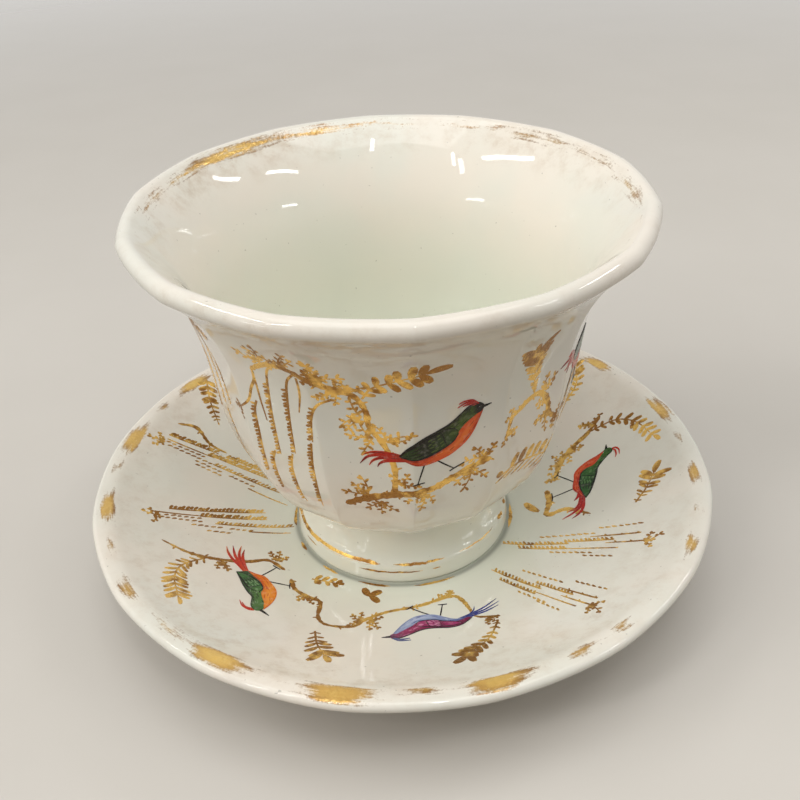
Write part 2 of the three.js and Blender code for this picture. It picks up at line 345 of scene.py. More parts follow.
class Turned:
    """A section turned about the Z axis and drawn in between its ridges."""

    def __init__(self, points, depths, count=1, phase=0.0, softness=0.0):
        self.points, self.depths = points, depths
        self.count, self.phase, self.softness = count, phase, np.broadcast_to(softness, len(points))
        steps = np.hypot(*np.diff(points, axis=0).T)
        self.arc = np.concatenate([[0], np.cumsum(steps)])

    def place(self, angles, radii, heights, depths, softness):
        share = panel_share(angles - self.phase, self.count, depths, softness)
        return np.stack([radii * share * np.sin(angles), -radii * share * np.cos(angles), heights], -1)

    def mesh(self, name, sides, closed=False, **attributes):
        """A mesh object; each attribute is a function of plan angle and arc length along the section."""
        points, depths = self.points, self.depths
        count = len(points) - 1 if closed else len(points)
        half, steps = math.pi / self.count, sides // self.count
        even = 2 * np.arange(steps) / steps - 1
        gathered = np.sign(even) * (1 - (1 - np.abs(even)) ** RIDGE_GATHER) if self.count > 1 else even
        middles = self.phase + half * (2 * np.arange(self.count) + 1)
        angles = (middles[:, None] + half * gathered).ravel()
        grid_angles = np.repeat(angles[:, None], count, 1)
        tile = lambda row: np.tile(row[:count], (sides, 1))
        places = self.place(grid_angles, *map(tile, (points[:, 0], points[:, 1], depths, self.softness)))
        index = np.arange(sides * count).reshape(sides, count)
        for column in (0, count - 1):
            if not closed and points[column, 0] == 0:
                index[:, column] = index[0, column]
        used = np.unique(index)
        renumber = np.zeros(sides * count, int)
        renumber[used] = np.arange(len(used))
        index = renumber[index]
        around = np.roll(index, -1, 0)
        up = np.roll(index, -1, 1)
        across = np.roll(around, -1, 1)
        last = count if closed else count - 1
        quads = np.stack([index, around, across, up], -1)[:, :last].reshape(-1, 4).tolist()
        faces = [list(dict.fromkeys(quad)) for quad in quads]
        mesh = bpy.data.meshes.new(name)
        mesh.from_pydata((places.reshape(-1, 3)[used] * MM).tolist(), [], faces)
        for key, rule in attributes.items():
            values = rule(np.degrees(grid_angles), tile(self.arc)).reshape(-1)[used]
            mesh.attributes.new(key, "FLOAT", "POINT").data.foreach_set("value", values.astype(np.float32))
        return finished_object(name, mesh)


def finished_object(name, mesh, sharp=50):
    """A smooth-shaded object in the scene, with edges from that many degrees kept sharp."""
    mesh.validate()
    mesh.shade_smooth()
    mesh.set_sharp_from_angle(angle=math.radians(sharp))
    made = bpy.data.objects.new(name, mesh)
    bpy.context.scene.collection.objects.link(made)
    return made


bowl = Turned(*bowl_section(), CUP_PANELS, CUP_PANEL_PHASE)
foot = Turned(*foot_section())
saucer = Turned(*saucer_section(), SAUCER_LOBES, SAUCER_LOBE_PHASE, SAUCER_RIDGE_SOFTNESS)
bowl_crest = int(np.argmax(bowl.points[:, 1]))
into_bowl = np.clip((bowl.arc - bowl.arc[bowl_crest]) / INSIDE_EASE, 0, 1)
bowl.softness = CUP_RIDGE_SOFTNESS + (INSIDE_RIDGE_SOFTNESS - CUP_RIDGE_SOFTNESS) * into_bowl
saucer_edge = int(np.argmax(saucer.points[:, 0]))


def outside_of(piece, last, unit_radius):
    """The outer wall of a turned piece, as places at (arc at a unit radius, height)."""
    # The flat underside in the middle is left out
    first = int(np.argmax(piece.points[:, 0] > unit_radius * 0.5))
    heights, order = np.unique(piece.points[first:last, 1], return_index=True)
    radii = piece.points[first:last, 0][order]
    depths = piece.depths[first:last][order]
    softness = piece.softness[first]

    def surface(flat):
        angles, level = flat[:, 0] / unit_radius, flat[:, 1]
        return piece.place(angles, np.interp(level, heights, radii), level,
                           np.interp(level, heights, depths), softness)
    return surface


def top_of(piece, first):
    """The upper side of a turned piece, as places at (x, y)."""
    radii, order = np.unique(piece.points[first:, 0], return_index=True)
    heights = piece.points[first:, 1][order]
    depths = piece.depths[first:][order]

    def surface(flat):
        out, angles = np.hypot(*flat.T), np.arctan2(flat[:, 0], -flat[:, 1])
        depth = np.interp(out, radii, depths)
        ridge = out / panel_share(angles - piece.phase, piece.count, depth, piece.softness[first])
        return np.c_[flat, np.interp(ridge, radii, heights)]
    return surface


cup_wall = outside_of(bowl, bowl_crest, BELLY_RADIUS)
foot_wall = outside_of(foot, int(np.argmax(foot.points[:, 1])), FOOT_BASE_RADIUS)
saucer_top = top_of(saucer, saucer_edge)


# Brushwork

def smooth(points, spacing=0.6, fewest=4):
    """Evenly spaced points along a soft curve through the given ones."""
    points = np.asarray(points, float)
    if len(points) > 2:
        ends = np.vstack([2 * points[0] - points[1], points, 2 * points[-1] - points[-2]])
        t = np.arange(8)[:, None] / 8
        runs = [
            (2 * b + (c - a) * t + (2 * a - 5 * b + 4 * c - d) * t**2 + (3 * b - a - 3 * c + d) * t**3) / 2
            for a, b, c, d in zip(ends, ends[1:], ends[2:], ends[3:])
        ]
        points = np.vstack([*runs, points[-1:]])
    arc = np.concatenate([[0], np.cumsum(np.hypot(*np.diff(points, axis=0).T))])
    count = max(fewest, int(round(arc[-1] / spacing)) + 1)
    where = np.linspace(0, arc[-1], count)
    return np.c_[np.interp(where, arc, points[:, 0]), np.interp(where, arc, points[:, 1])]


def linear(hex_colour):
    """A colour written as sRGB hex, in the linear values that materials use."""
    parts = np.array([int(hex_colour[i:i + 2], 16) / 255 for i in (1, 3, 5)])
    return np.where(parts <= 0.04045, parts / 12.92, ((parts + 0.055) / 1.055) ** 2.4)


def spread(values, count):
    """Values spread evenly over a count of places."""
    return np.interp(np.linspace(0, 1, count), np.linspace(0, 1, len(values)), values)


def blended(tints, count):
    """Colours spread evenly over a count of places."""
    colours = np.array([linear(tint) for tint in tints])
    return np.stack([spread(colours[:, k], count) for k in range(3)], -1)


class Ink:
    """Brush strokes on one surface, gathered into one mesh of thin closed films."""

    def __init__(self, surface, thickness, seed):
        self.surface, self.thickness = surface, thickness
        self.chance = np.random.default_rng(seed)
        self.points, self.faces, self.tints, self.count = [], [], [], 0

    def lifted(self, flat, lift):
        """Places on the surface, raised along its normal."""
        reach = 0.05
        across = self.surface(flat + (reach, 0)) - self.surface(flat - (reach, 0))
        up = self.surface(flat + (0, reach)) - self.surface(flat - (0, reach))
        normal = np.cross(across, up)
        normal /= np.linalg.norm(normal, axis=1, keepdims=True)
        return self.surface(flat) + normal * lift[:, None]

    def film(self, flat, wide, colours, layer, bulge=FILM_BULGE):
        """A closed film over a grid of places, rows along it and columns from its left to its right."""
        rows, columns = flat.shape[:2]
        across = np.linspace(-1, 1, columns)
        swell = bulge * np.minimum(1, wide)[:, None] * (1 - across**2)[None]
        sunk = np.full((rows, 1), -FILM_SINK)
        lift = np.concatenate([sunk, self.thickness + layer * LAYER_STEP + swell, sunk], 1)
        flat = np.concatenate([flat[:, :1], flat, flat[:, -1:]], 1)
        colours = np.concatenate([colours[:, :1], colours, colours[:, -1:]], 1)
        self.points.append(self.lifted(flat.reshape(-1, 2), lift.ravel()))
        self.tints.append(colours.reshape(-1, 3))

        ring, start = columns + 2, self.count
        row, column = np.arange(rows - 1)[:, None] * ring, np.arange(ring)[None]
        near, far = row + column, row + (column + 1) % ring
        self.faces += (np.stack([near, far, far + ring, near + ring], -1).reshape(-1, 4) + start).tolist()
        self.count += ring * rows
        self.faces += [list(range(start + ring - 1, start - 1, -1)),
                       list(range(self.count - ring, self.count))]

    def stroke(self, path, widths, tints=("#ffffff",), layer=0):
        """One stroke along closely spaced points; widths and tints are spread evenly along it."""
        path = np.asarray(path, float)
        wide = np.maximum(spread(widths, len(path)), THINNEST_STROKE)
        ahead = np.gradient(path, axis=0)
        ahead /= np.linalg.norm(ahead, axis=1, keepdims=True) + 1e-9
        right = np.c_[ahead[:, 1], -ahead[:, 0]]
        columns = next(count for limit, count in STROKE_COLUMNS if wide.max() < limit)
        across = np.linspace(-0.5, 0.5, columns)
        flat = path[:, None] + right[:, None] * wide[:, None, None] * across[None, :, None]
        colours = np.repeat(blended(tints, len(path))[:, None], columns, 1)
        self.film(flat, wide, colours, layer)

    def sheet(self, first, second, tints, layer, columns=9):
        """A film between two edges of equally many points; tints are rows from edge to edge."""
        outline = np.vstack([first, second[::-1]])
        following = np.roll(outline, -1, 0)
        if np.sum(outline[:, 0] * following[:, 1] - following[:, 0] * outline[:, 1]) > 0:
            first, second, tints = second, first, tints[::-1]
        share = np.linspace(0, 1, columns)
        flat = first[:, None] + (second - first)[:, None] * share[None, :, None]
        rows = np.array([blended(row, len(first)) for row in tints])
        place = share * (len(tints) - 1)
        low = np.minimum(place.astype(int), len(tints) - 2)
        part = (place - low)[:, None, None]
        colours = (rows[low] * (1 - part) + rows[low + 1] * part).swapaxes(0, 1)
        self.film(flat, np.linalg.norm(second - first, axis=1), colours, layer, SHEET_BULGE)

    def object(self, name):
        mesh = bpy.data.meshes.new(name)
        mesh.from_pydata((np.vstack(self.points) * MM).tolist(), [], self.faces)
        tints = np.c_[np.vstack(self.tints), np.ones(self.count)]
        mesh.color_attributes.new("tint", "FLOAT_COLOR", "POINT").data.foreach_set("color", tints.ravel())
        return finished_object(name, mesh, sharp=30)


def heading_of(angle):
    """The step of length 1 at an angle."""
    return np.array([math.cos(angle), math.sin(angle)])


def as_written(points):
    return np.asarray(points, float)


class Brush:
    """Draws with an ink. Branches, ferns, tassels, rows of tufts and frames are given by written points.
    Measure turns these into drawn ones, in millimetres, and place takes those to the ink's surface."""

    def __init__(self, ink, place=as_written, measure=as_written):
        self.ink, self.place, self.measure, self.chance = ink, place, measure, ink.chance

    def within(self, origin, turn=0.0, scale=1.0, mirror=1):
        """A brush in a frame set in this one: origin, angle of the x axis, scale, and -1 to mirror it."""
        axes = np.array([heading_of(turn), mirror * heading_of(turn + QUARTER_TURN)])
        inner = lambda points: self.measure([origin]) + scale * (as_written(points) @ axes)
        return Brush(self.ink, lambda points: self.place(inner(points)))

    def stroke(self, path, *looks):
        self.ink.stroke(self.place(path), *looks)

    def sheet(self, first, second, *looks):
        self.ink.sheet(self.place(first), self.place(second), *looks)

    def dab(self, spot, angle, length, width, tint, layer):
        """One short pointed touch, about its middle."""
        path = np.asarray(spot) + np.linspace(-0.5, 0.5, len(DAB_SHAPE))[:,
                                                                         None] * length * heading_of(angle)
        self.stroke(path, DAB_SHAPE * width, (tint,), layer)

    def leaf(self, base, angle, length, width, bend=0.25):
        """One leaf-shaped dab, from its base."""
        share = np.linspace(0, 1, len(LEAF_SHAPE))[:, None]
        ahead, side = heading_of(angle), heading_of(angle + QUARTER_TURN)
        path = np.asarray(base) + length * (share * ahead + bend * share * (1 - share) * side)
        self.stroke(path, LEAF_SHAPE * width)

    def branch(self, path, widths, spurs=0.25):
        """A gnarled bough with short spurs; spurs is how many there are to each millimetre."""
        step = 0.7
        line = smooth(self.measure(path), step)
        wide = spread(widths, len(line))
        wide *= 1 + 0.24 * self.chance.uniform(-1, 1, len(line))
        wide[0] *= 0.4
        wide[-1] *= 0.3
        self.stroke(line, wide)
        for _ in range(int(len(line) * step * spurs)):
            spot = int(self.chance.integers(1, len(line) - 1))
            side = self.chance.choice([-1, 1])
            self.leaf(line[spot], direction(line, spot) + side * self.chance.uniform(0.8, 1.6),
                      wide[spot] * 0.5 + self.chance.uniform(0.4, 1.1), 0.5)

    def sprig(self, base, angle, length, lobes=6, plump=0.68):
        """A short twig with rounded leaves on both sides and one at its tip."""
        bend = self.chance.uniform(-0.5, 0.5)
        share = np.linspace(0, 1, max(4, lobes))[:, None]
        ahead, side = heading_of(angle), heading_of(angle + QUARTER_TURN)
        line = np.asarray(base) + length * (share * ahead + bend * share**2 * side)
        self.stroke(line, TWIG_WIDTHS)
        for lobe in range(lobes):
            spot = line[min(len(line) - 1, 1 + int(lobe * (len(line) - 1) / lobes))]
            swing = (1 if lobe % 2 else -1) * self.chance.uniform(0.7, 1.35)
            self.leaf(spot, angle + bend + swing, length * self.chance.uniform(0.24, 0.38), plump)
        self.leaf(line[-1], angle + 2 * bend, length * 0.32, plump)

    def tuft(self, base, angle, size, fan=0.85):
        """Three sprigs fanned out from one point."""
        for swing in (-fan, 0, fan):
            self.sprig(base, angle + swing * self.chance.uniform(0.75, 1.2),
                       size * self.chance.uniform(0.75, 1.1))

    def tufts(self, *rows):
        """Tufts at written points, each of (x, y, angle, size)."""
        for x, y, angle, size in rows:
            self.tuft(self.measure([(x, y)])[0], angle, size)

    def fern(self, path, leaves, pairs, splay=0.95, plump=0.44, tip=1.0):
        """A stalk with pairs of leaflets; leaves are their lengths, spread evenly along the stalk."""
        line = smooth(self.measure(path), 0.6)
        self.stroke(line, STALK_WIDTHS)
        for pair in range(pairs):
            share = (pair + 0.6) / pairs
            spot = min(len(line) - 2, max(1, int(share * (len(line) - 1))))
            ahead = direction(line, spot)
            length = np.interp(share * (len(leaves) - 1), np.arange(len(leaves)), leaves)
            for side in (-1, 1):
                self.leaf(line[spot], ahead + side * splay * self.chance.uniform(0.9, 1.1),
                          length * self.chance.uniform(0.88, 1.08), max(0.5, length * plump), -0.2 * side)
        self.leaf(line[-1], direction(line, -2), leaves[-1] * tip, max(0.5, leaves[-1] * plump))

    def tassel(self, path, teeth, side, width=STRAND_WIDTH, tooth=1.55, pitch=1.0, lean=0.9):
        """A willow strand with a comb of small leaves along part of it; no width leaves the comb alone."""
        line = smooth(self.measure(path), 0.8)
        if width:
            self.stroke(line, [width * 0.9, width, width * 0.85, width * 0.5])
        arc = np.concatenate([[0], np.cumsum(np.hypot(*np.diff(line, axis=0).T))])
        for where in np.arange(teeth[0] * arc[-1], teeth[1] * arc[-1] * 0.995, pitch):
            spot = min(len(line) - 2, max(1, int(np.searchsorted(arc, where))))
            base = [np.interp(where, arc, line[:, k]) for k in (0, 1)]
            self.leaf(base, direction(line, spot) + side * lean * self.chance.uniform(0.83, 1.17),
                      tooth * self.chance.uniform(0.8, 1.15), tooth * 0.44)

    def tassels(self, *rows):
        """Willow strands, each of (where its comb begins, where it ends, points), and bare for 1 and 1."""
        for begin, finish, *path in rows:
            self.tassel(path, (begin, finish), -1, STRAND_WIDTH if begin < finish else BARE_STRAND_WIDTH)


# Birds

TONES = "back neck wing feather light belly belly_light belly_dark tail tail_dark head crest dark".split()
PALETTES = {name: dict(zip(TONES, colours.split())) for name, colours in (
    ("green", "#231f10 #4a5f20 #2c3e18 #56652f #a9ad78 #e0521f #f27c36 "
              "#a42a12 #b8281a #701214 #1c140c #b8281c #150e08"),
    ("leaf", "#2f4a22 #4d7434 #3d6a34 #6f9160 #a9c096 #e27a18 #f09c34 "
             "#c84618 #c4381c #961c14 #446a30 #bc3018 #1a1409"),
    ("ruby", "#22401a #41682a #33602c #58804a #98b88a #cc4020 #e06432 "
             "#9e1e1c #b8261e #84121a #375a26 #bc3018 #12140a"),
    ("blue", "#7a1c48 #98305e #a0346a #c87aa2 #ecc4d2 #8894bc #b0b9d2 "
             "#4c568e #3f4894 #1c2260 #6c3a5c #565d86 #241628"),
)}

# Poses in millimetres, from the middle of the body: x runs towards the beak, y away from the feet, and every
# line from the tail to the head. The nape is the outline of the back, and the flank parts it from the breast.
UPRIGHT = {
    "nape": [(-8.6, -2.3), (-6.6, 0), (-3.8, 1.9), (-0.3, 3.5), (2.4, 4.9), (4.9, 7.3), (6.3, 8.6),
             (7.8, 9.1)],
    "flank": [(-8, -2.8), (-5.9, -3.3), (-3.8, -3.4), (-1.5, -2.8), (0.9, -1.7), (3.1, -0.2), (4.5, 2.4),
              (5.7, 4), (7.2, 5.3), (8.6, 6.4)],
    "breast": [(-8, -3.4), (-6.4, -4.4), (-4.4, -5.3), (-1.8, -5.3), (2, -4.2), (4.4, -2.7), (6.4, -0.8),
               (7.7, 1.4), (8.5, 3.6), (9.1, 5.6), (9.4, 7)],
    "wing_top": [(-8.4, -2.5), (-6.6, -0.6), (-3.8, 1.2), (-0.3, 2.8), (2.6, 3.5), (4.1, 2.5)],
    "wing_low": [(-8.2, -2.7), (-5.9, -3.3), (-3.8, -3.4), (-1.5, -2.8), (0.9, -1.7), (3.1, -0.3),
                 (4.3, 1.6)],
    "head": (8, 7.6), "head_size": 3.0, "plume": 0.78,
    "beak": [(8.9, 7.6), (10, 7.8), (11.1, 8.1)],
    "crest": [[(7.7, 8.7), (6.4, 9.6), (5, 9.5), (3.7, 8.7)],
              [(8.2, 8.8), (6.8, 10), (5.2, 10.2), (3.9, 9.7)], [(7.4, 8.6), (6.2, 9.1), (4.8, 8.8)]],
    "tail": [[(-7.6, -2.4), (-10, -1.8), (-13, -1.4), (-15, -1.6), (-16.4, -2.3)],
             [(-7.6, -2.7), (-10.8, -2.3), (-13.6, -2.2), (-15.6, -2.9), (-17.2, -4.8)],
             [(-7.4, -3.1), (-10, -2.9), (-12.6, -3), (-14.3, -3.8), (-15.2, -5.2)],
             [(-7.2, -3.6), (-9.4, -3.6), (-11.5, -3.8), (-12.9, -4.6), (-13.4, -5.6)]],
    "legs": [[(-0.8, -4.4), (1.4, -6.4), (3.6, -8.2)], [(-3.2, -5), (-4, -7.8), (-4.8, -10.8)]],
    "toes": [[(2.6, -8.8), (3.6, -8.2), (6.0, -7.1)], [(-5.8, -11), (-4.8, -10.8), (-3.2, -10.7)]],
}
STOOPED = {
    "nape": [(-6, 4.1), (-3.6, 3.8), (-1.4, 3.6), (0.8, 3.3), (3.1, 2.8), (4.7, 2.3), (6.7, 2.8), (8.5, 3.2),
             (10.3, 2.8)],
    "flank": [(-6.1, 1.2), (-3.9, 0.3), (-1.1, -1), (1.7, -1), (3.2, -0.2), (5.4, 0), (7.7, 0), (10.2, 0.8)],
    "breast": [(-6.1, 0.9), (-4.8, -0.6), (-3.4, -2.5), (-0.3, -3.5), (2.5, -4), (4.7, -3.6), (6.8, -2.6),
               (8.9, -1), (10.4, 0.5)],
    "wing_top": [(-6, 4.1), (-3.6, 3.5), (-1.2, 3), (1.2, 2.2), (2.7, 0.8)],
    "wing_low": [(-6, 3.8), (-4.4, 1.6), (-2.2, 0), (0, -0.9), (1.6, -0.9), (2.8, 0.2)],
    "head": (9.4, 1.8), "head_size": 2.9, "plume": 0.76,
    "beak": [(10.6, 1.4), (12, 0.6), (13.3, -0.1)],
    "crest": [[(10.6, 2.9), (10.2, 4), (8.5, 5.2), (6.1, 5.4)], [(10, 3.1), (9, 4.6), (7.1, 5)]],
    "tail": [[(-5.6, 2), (-9, 3.1), (-11.7, 4.2), (-14.4, 4.7), (-16.6, 4.6)],
             [(-5.6, 1.8), (-10, 2.6), (-12.7, 3.2), (-16.8, 3)],
             [(-5.6, 1.5), (-10, 2.1), (-13.2, 2.1), (-16.6, 0.9)],
             [(-5.6, 1.3), (-9.4, 1.6), (-12.6, 1.3), (-15, 0.4)]],
    "legs": [[(-4, -1.8), (-5.4, -4), (-6.8, -6.1)], [(-1.2, -3.2), (0, -5.4), (1.2, -7.6)]],
    "toes": [[(-7.8, -5.4), (-6.8, -6.1), (-5.8, -6.8)], [(0.2, -8), (1.2, -7.6), (2.4, -7.4)]],
}
SLENDER = {
    "nape": [(-9, 3.8), (-7.6, 4.5), (-5.2, 5.2), (-2.6, 4.6), (-0.4, 3.3), (2, 2.2), (4.3, 2), (6.9, 2.4),
             (9.4, 2.6), (11, 1.8)],
    "flank": [(-8.2, 3.2), (-5.3, 3.2), (-2.5, 1.3), (-1.2, -0.1), (1.1, -1.3), (3, -1.4), (4.4, -0.8),
              (7.1, 0), (10, 0.8)],
    "breast": [(-7.2, 2.7), (-5.2, 1.9), (-3.7, -0.1), (-2.3, -2.1), (-0.5, -3.3), (1.7, -3.9), (3.8, -3.6),
               (6.4, -2.4), (8.6, -0.9), (10.2, 0.3)],
    "wing_top": [(-6, 4.6), (-3.6, 4.3), (-1.3, 3.2), (1, 1.8), (3, 0.7), (3.7, 0)],
    "wing_low": [(-6, 4.2), (-4.6, 3), (-2.5, 1.3), (-1.2, -0.1), (1.1, -1.3), (2.8, -1.4), (3.7, -0.5)],
    "head": (10.2, 1.3), "head_size": 2.1, "plume": 0.45,
    "beak": [(10.9, 1.1), (11.8, 0.8), (13, 0.4)],
    "crest": [[(10.9, 2), (9.9, 3.6), (7.6, 4.7)], [(10.6, 2.2), (9.4, 3.3), (7.4, 3.8)]],
    "tail": [[(-5.6, 2.4), (-8.9, 2.4), (-10.8, 1.4), (-11.8, 0)],
             [(-5.6, 2.5), (-10, 2.3), (-13.3, 1.9), (-17.6, 0.6)],
             [(-5.8, 2.9), (-10, 2.8), (-13.2, 2.8), (-17.6, 1.9)],
             [(-6, 3.3), (-10, 3.4), (-13, 3.6), (-16.6, 3.2)]],
    "legs": [[(-1.3, -2.6), (0.2, -5.2), (1.5, -7.8)], [(-3.2, -1.2), (-4.6, -3.2), (-5.8, -4.9)]],
    "toes": [[(0.6, -8.2), (1.5, -7.8), (2.6, -7.6)], [(-6.8, -4.5), (-5.8, -4.9), (-4.8, -5.4)]],
}
STRETCHED = {
    "nape": [(-8.2, 2.1), (-5.8, 2.4), (-2.3, 2), (1.2, 1.4), (3.3, 0.9), (5.4, 1.2), (7.8, 1.9), (9.2, 2.5),
             (10.3, 2.2)],
    "flank": [(-8.2, 1.9), (-6.8, 0.8), (-5.2, -0.6), (-3.1, -1.8), (-1.4, -2.3), (0.8, -2.9), (2.6, -2.3),
              (4.1, -0.7), (6.2, -0.1), (8.3, 0.2)],
    "breast": [(-7.6, 0.6), (-5.8, -2.4), (-4.2, -3.3), (-2, -3.9), (0.1, -4.7), (1.9, -4.6), (4, -3.8),
               (5.8, -2.6), (7.4, -1.2), (9.6, 0.3)],
    "wing_top": [(-8.2, 2.1), (-5.8, 2.3), (-2.3, 1.9), (1.2, 1.2), (3.2, 0)],
    "wing_low": [(-8.2, 1.9), (-6.8, 0.8), (-5.2, -0.6), (-3.1, -1.8), (-1.4, -2.3), (0.8, -2.8),
                 (2.8, -1.6)],
    "head": (9.3, 1.4), "head_size": 2.4, "plume": 0.74,
    "beak": [(10, 0.7), (10.8, 0.3), (11.6, 0)],
    "crest": [[(10.3, 2.2), (10.7, 3.1), (9.9, 4.3), (8.4, 5)],
              [(10, 2.4), (9.8, 3.2), (8.4, 4.1), (7.2, 4.3)]],
    "tail": [[(-7.2, 0.8), (-11.2, 2), (-14.1, 1.2), (-17.4, -0.8)],
             [(-7.4, 1.3), (-12, 2.8), (-14.8, 2.5), (-16.6, 1.6)],
             [(-6.6, 0), (-10.4, 1.2), (-12.7, 0.9), (-14.3, -0.5)], [(-6, -0.8), (-8, -0.2), (-9.8, -0.6)]],
    "legs": [[(-5.2, -2.6), (-7.4, -4.8), (-9.5, -6.9)], [(-2.7, -3.6), (-1.8, -6.4), (-1, -9.2)]],
    "toes": [[(-11, -6.4), (-9.5, -6.9), (-8, -7.8)], [(-2.2, -9.6), (-1, -9.2), (0.4, -9.4)]],
}
EDGE_POINTS = 48


def evenly(points, count=EDGE_POINTS):
    """A soft curve through points, as that many evenly spaced ones."""
    line = smooth(points, 0.2)
    return np.c_[spread(line[:, 0], count), spread(line[:, 1], count)]


def plumage(brush, first, second, count, tints, length, width, layer, reach=(0.05, 0.95)):
    """Fine feather strokes scattered over a sheet, along it."""
    chance = brush.chance
    for number in range(count):
        row = int(chance.uniform(*reach) * (EDGE_POINTS - 3)) + 1
        line = first + (second - first) * chance.uniform(0.1, 0.9)
        angle = direction(line, row) + chance.uniform(-0.15, 0.15)
        brush.dab(line[row], angle, length * chance.uniform(0.6, 1.2), width, tints[number % len(tints)],
                  layer)


def bird(brush, pose, palette):
    """A perching bird, painted from the tail forward in coats, which the last number of a call counts."""
    tone = PALETTES[palette]
    tinted = lambda names: tuple(tone[name] for name in names.split())
    chance = brush.chance
    nape, flank, breast, wing_top, wing_low = (
        evenly(pose[line]) for line in ("nape", "flank", "breast", "wing_top", "wing_low"))
    for number, plume in enumerate(pose["tail"]):
        line = smooth(plume, 0.5)
        tip = "tail_dark" if number % 2 else "belly"
        brush.stroke(line, PLUME_SHAPE * pose["plume"], tinted("belly_dark tail tail " + tip), number % 2)
        brush.stroke(line[2:-1], [0.1, 0.2, 0.12], tinted("tail_dark"), 3)
    for leg in pose["legs"] + pose["toes"]:
        brush.stroke(smooth(leg, 0.5), [0.3, 0.32, 0.22], tinted("dark"), 1)

    brush.sheet(flank, breast, (
        tinted("belly_dark belly_dark belly belly"),
        tinted("belly_dark belly belly_light belly_light belly"),
        tinted("belly_dark belly belly belly_dark")), 2)
    plumage(brush, flank, breast, 30, tinted("belly_dark belly_light belly"), 1.8, 0.2, 3)
    brush.sheet(nape, flank, (
        tinted("dark back back back head"),
        tinted("back back back neck neck head"),
        tinted("back back neck neck neck")), 4)
    plumage(brush, nape, flank, 26, tinted("dark neck feather"), 1.2, 0.2, 5, (0.5, 0.9))
    size = pose["head_size"]
    round_head = np.asarray(pose["head"]) + np.linspace(-0.5, 0.5, 11)[:, None] * size * heading_of(0.15)
    brush.stroke(round_head, HEAD_SHAPE * size, tinted("neck head head"), 5)

    brush.sheet(wing_top, wing_low, (
        tinted("dark dark back wing"),
        tinted("back dark wing neck"),
        tinted("dark dark wing wing")), 6)
    on_wing = lambda share: wing_top + (wing_low - wing_top) * share
    for number, share in enumerate((0.16, 0.39, 0.62, 0.85)):
        line = on_wing(share)[1 + number:int(EDGE_POINTS * 0.48)]
        brush.stroke(line, [0.1, 0.5, 0.6, 0.5, 0.15], tinted("wing wing back"), 7)
        brush.stroke(line[3:-2], [0.08, 0.2, 0.2, 0.08], tinted("feather"), 8)
    for place_along, shift in ((0.5, 0.0), (0.58, 0.11), (0.66, 0.0)):
        spot = int(EDGE_POINTS * place_along)
        for share in (0.17, 0.39, 0.61, 0.8):
            line = on_wing(share + shift)
            here = line[spot] + chance.uniform(-0.2, 0.2, 2)
            angle = direction(line, spot) + chance.uniform(-0.3, 0.3)
            brush.dab(here, angle, chance.uniform(0.7, 1.3), 0.36, tone["feather"], 7)
    bar = int(EDGE_POINTS * 0.72)
    across_wing = wing_top[bar] + (wing_low[bar] - wing_top[bar]) * np.linspace(0.1, 0.9, 6)[:, None]
    brush.stroke(across_wing, [0.1, 0.26, 0.26, 0.1], tinted("dark"), 8)
    shoulder = on_wing(0.42)[int(EDGE_POINTS * 0.8):int(EDGE_POINTS * 0.95)]
    brush.stroke(shoulder, [0.1, 0.7, 0.8, 0.5, 0.1], tinted("feather"), 7)
    for line, width in ((wing_low, 0.36), (wing_top, 0.32), (nape, 0.22)):
        brush.stroke(line, [0.12, width, width, 0.14], tinted("dark"), 8)

    brush.stroke(smooth(pose["beak"], 0.4), [0.8, 0.5, 0.1], tinted("dark"), 6)
    for strand in pose["crest"]:
        brush.stroke(smooth(strand, 0.4), [0.36, 0.5, 0.36, 0.1], tinted("crest"), 6)
    eye = np.asarray(pose["head"]) + (0.25, 0.2)
    brush.dab(eye, 0.0, 0.62, 0.6, tone["light"], 7)
    brush.dab(eye, 0.0, 0.34, 0.34, tone["dark"], 9)


# The painting on the cup

cup_gold = Ink(cup_wall, GOLD_FILM, 11)
cup_paint = Ink(cup_wall, PAINT_FILM, 12)


def on_belly(spots):
    """Drawn points from plan angles in degrees and heights."""
    return np.array([(math.radians(angle) * BELLY_RADIUS, height) for angle, height in spots])


def cup_brushes(centre, mirror=1):
    """Brushes for gold and paint in a frame with its middle at a plan angle in degrees; -1 mirrors it."""
    middle = math.radians(centre) * BELLY_RADIUS
    place = lambda points: as_written(points) * (mirror, 1) + (middle, 0)
    return Brush(cup_gold, place, on_belly), Brush(cup_paint, place, on_belly)


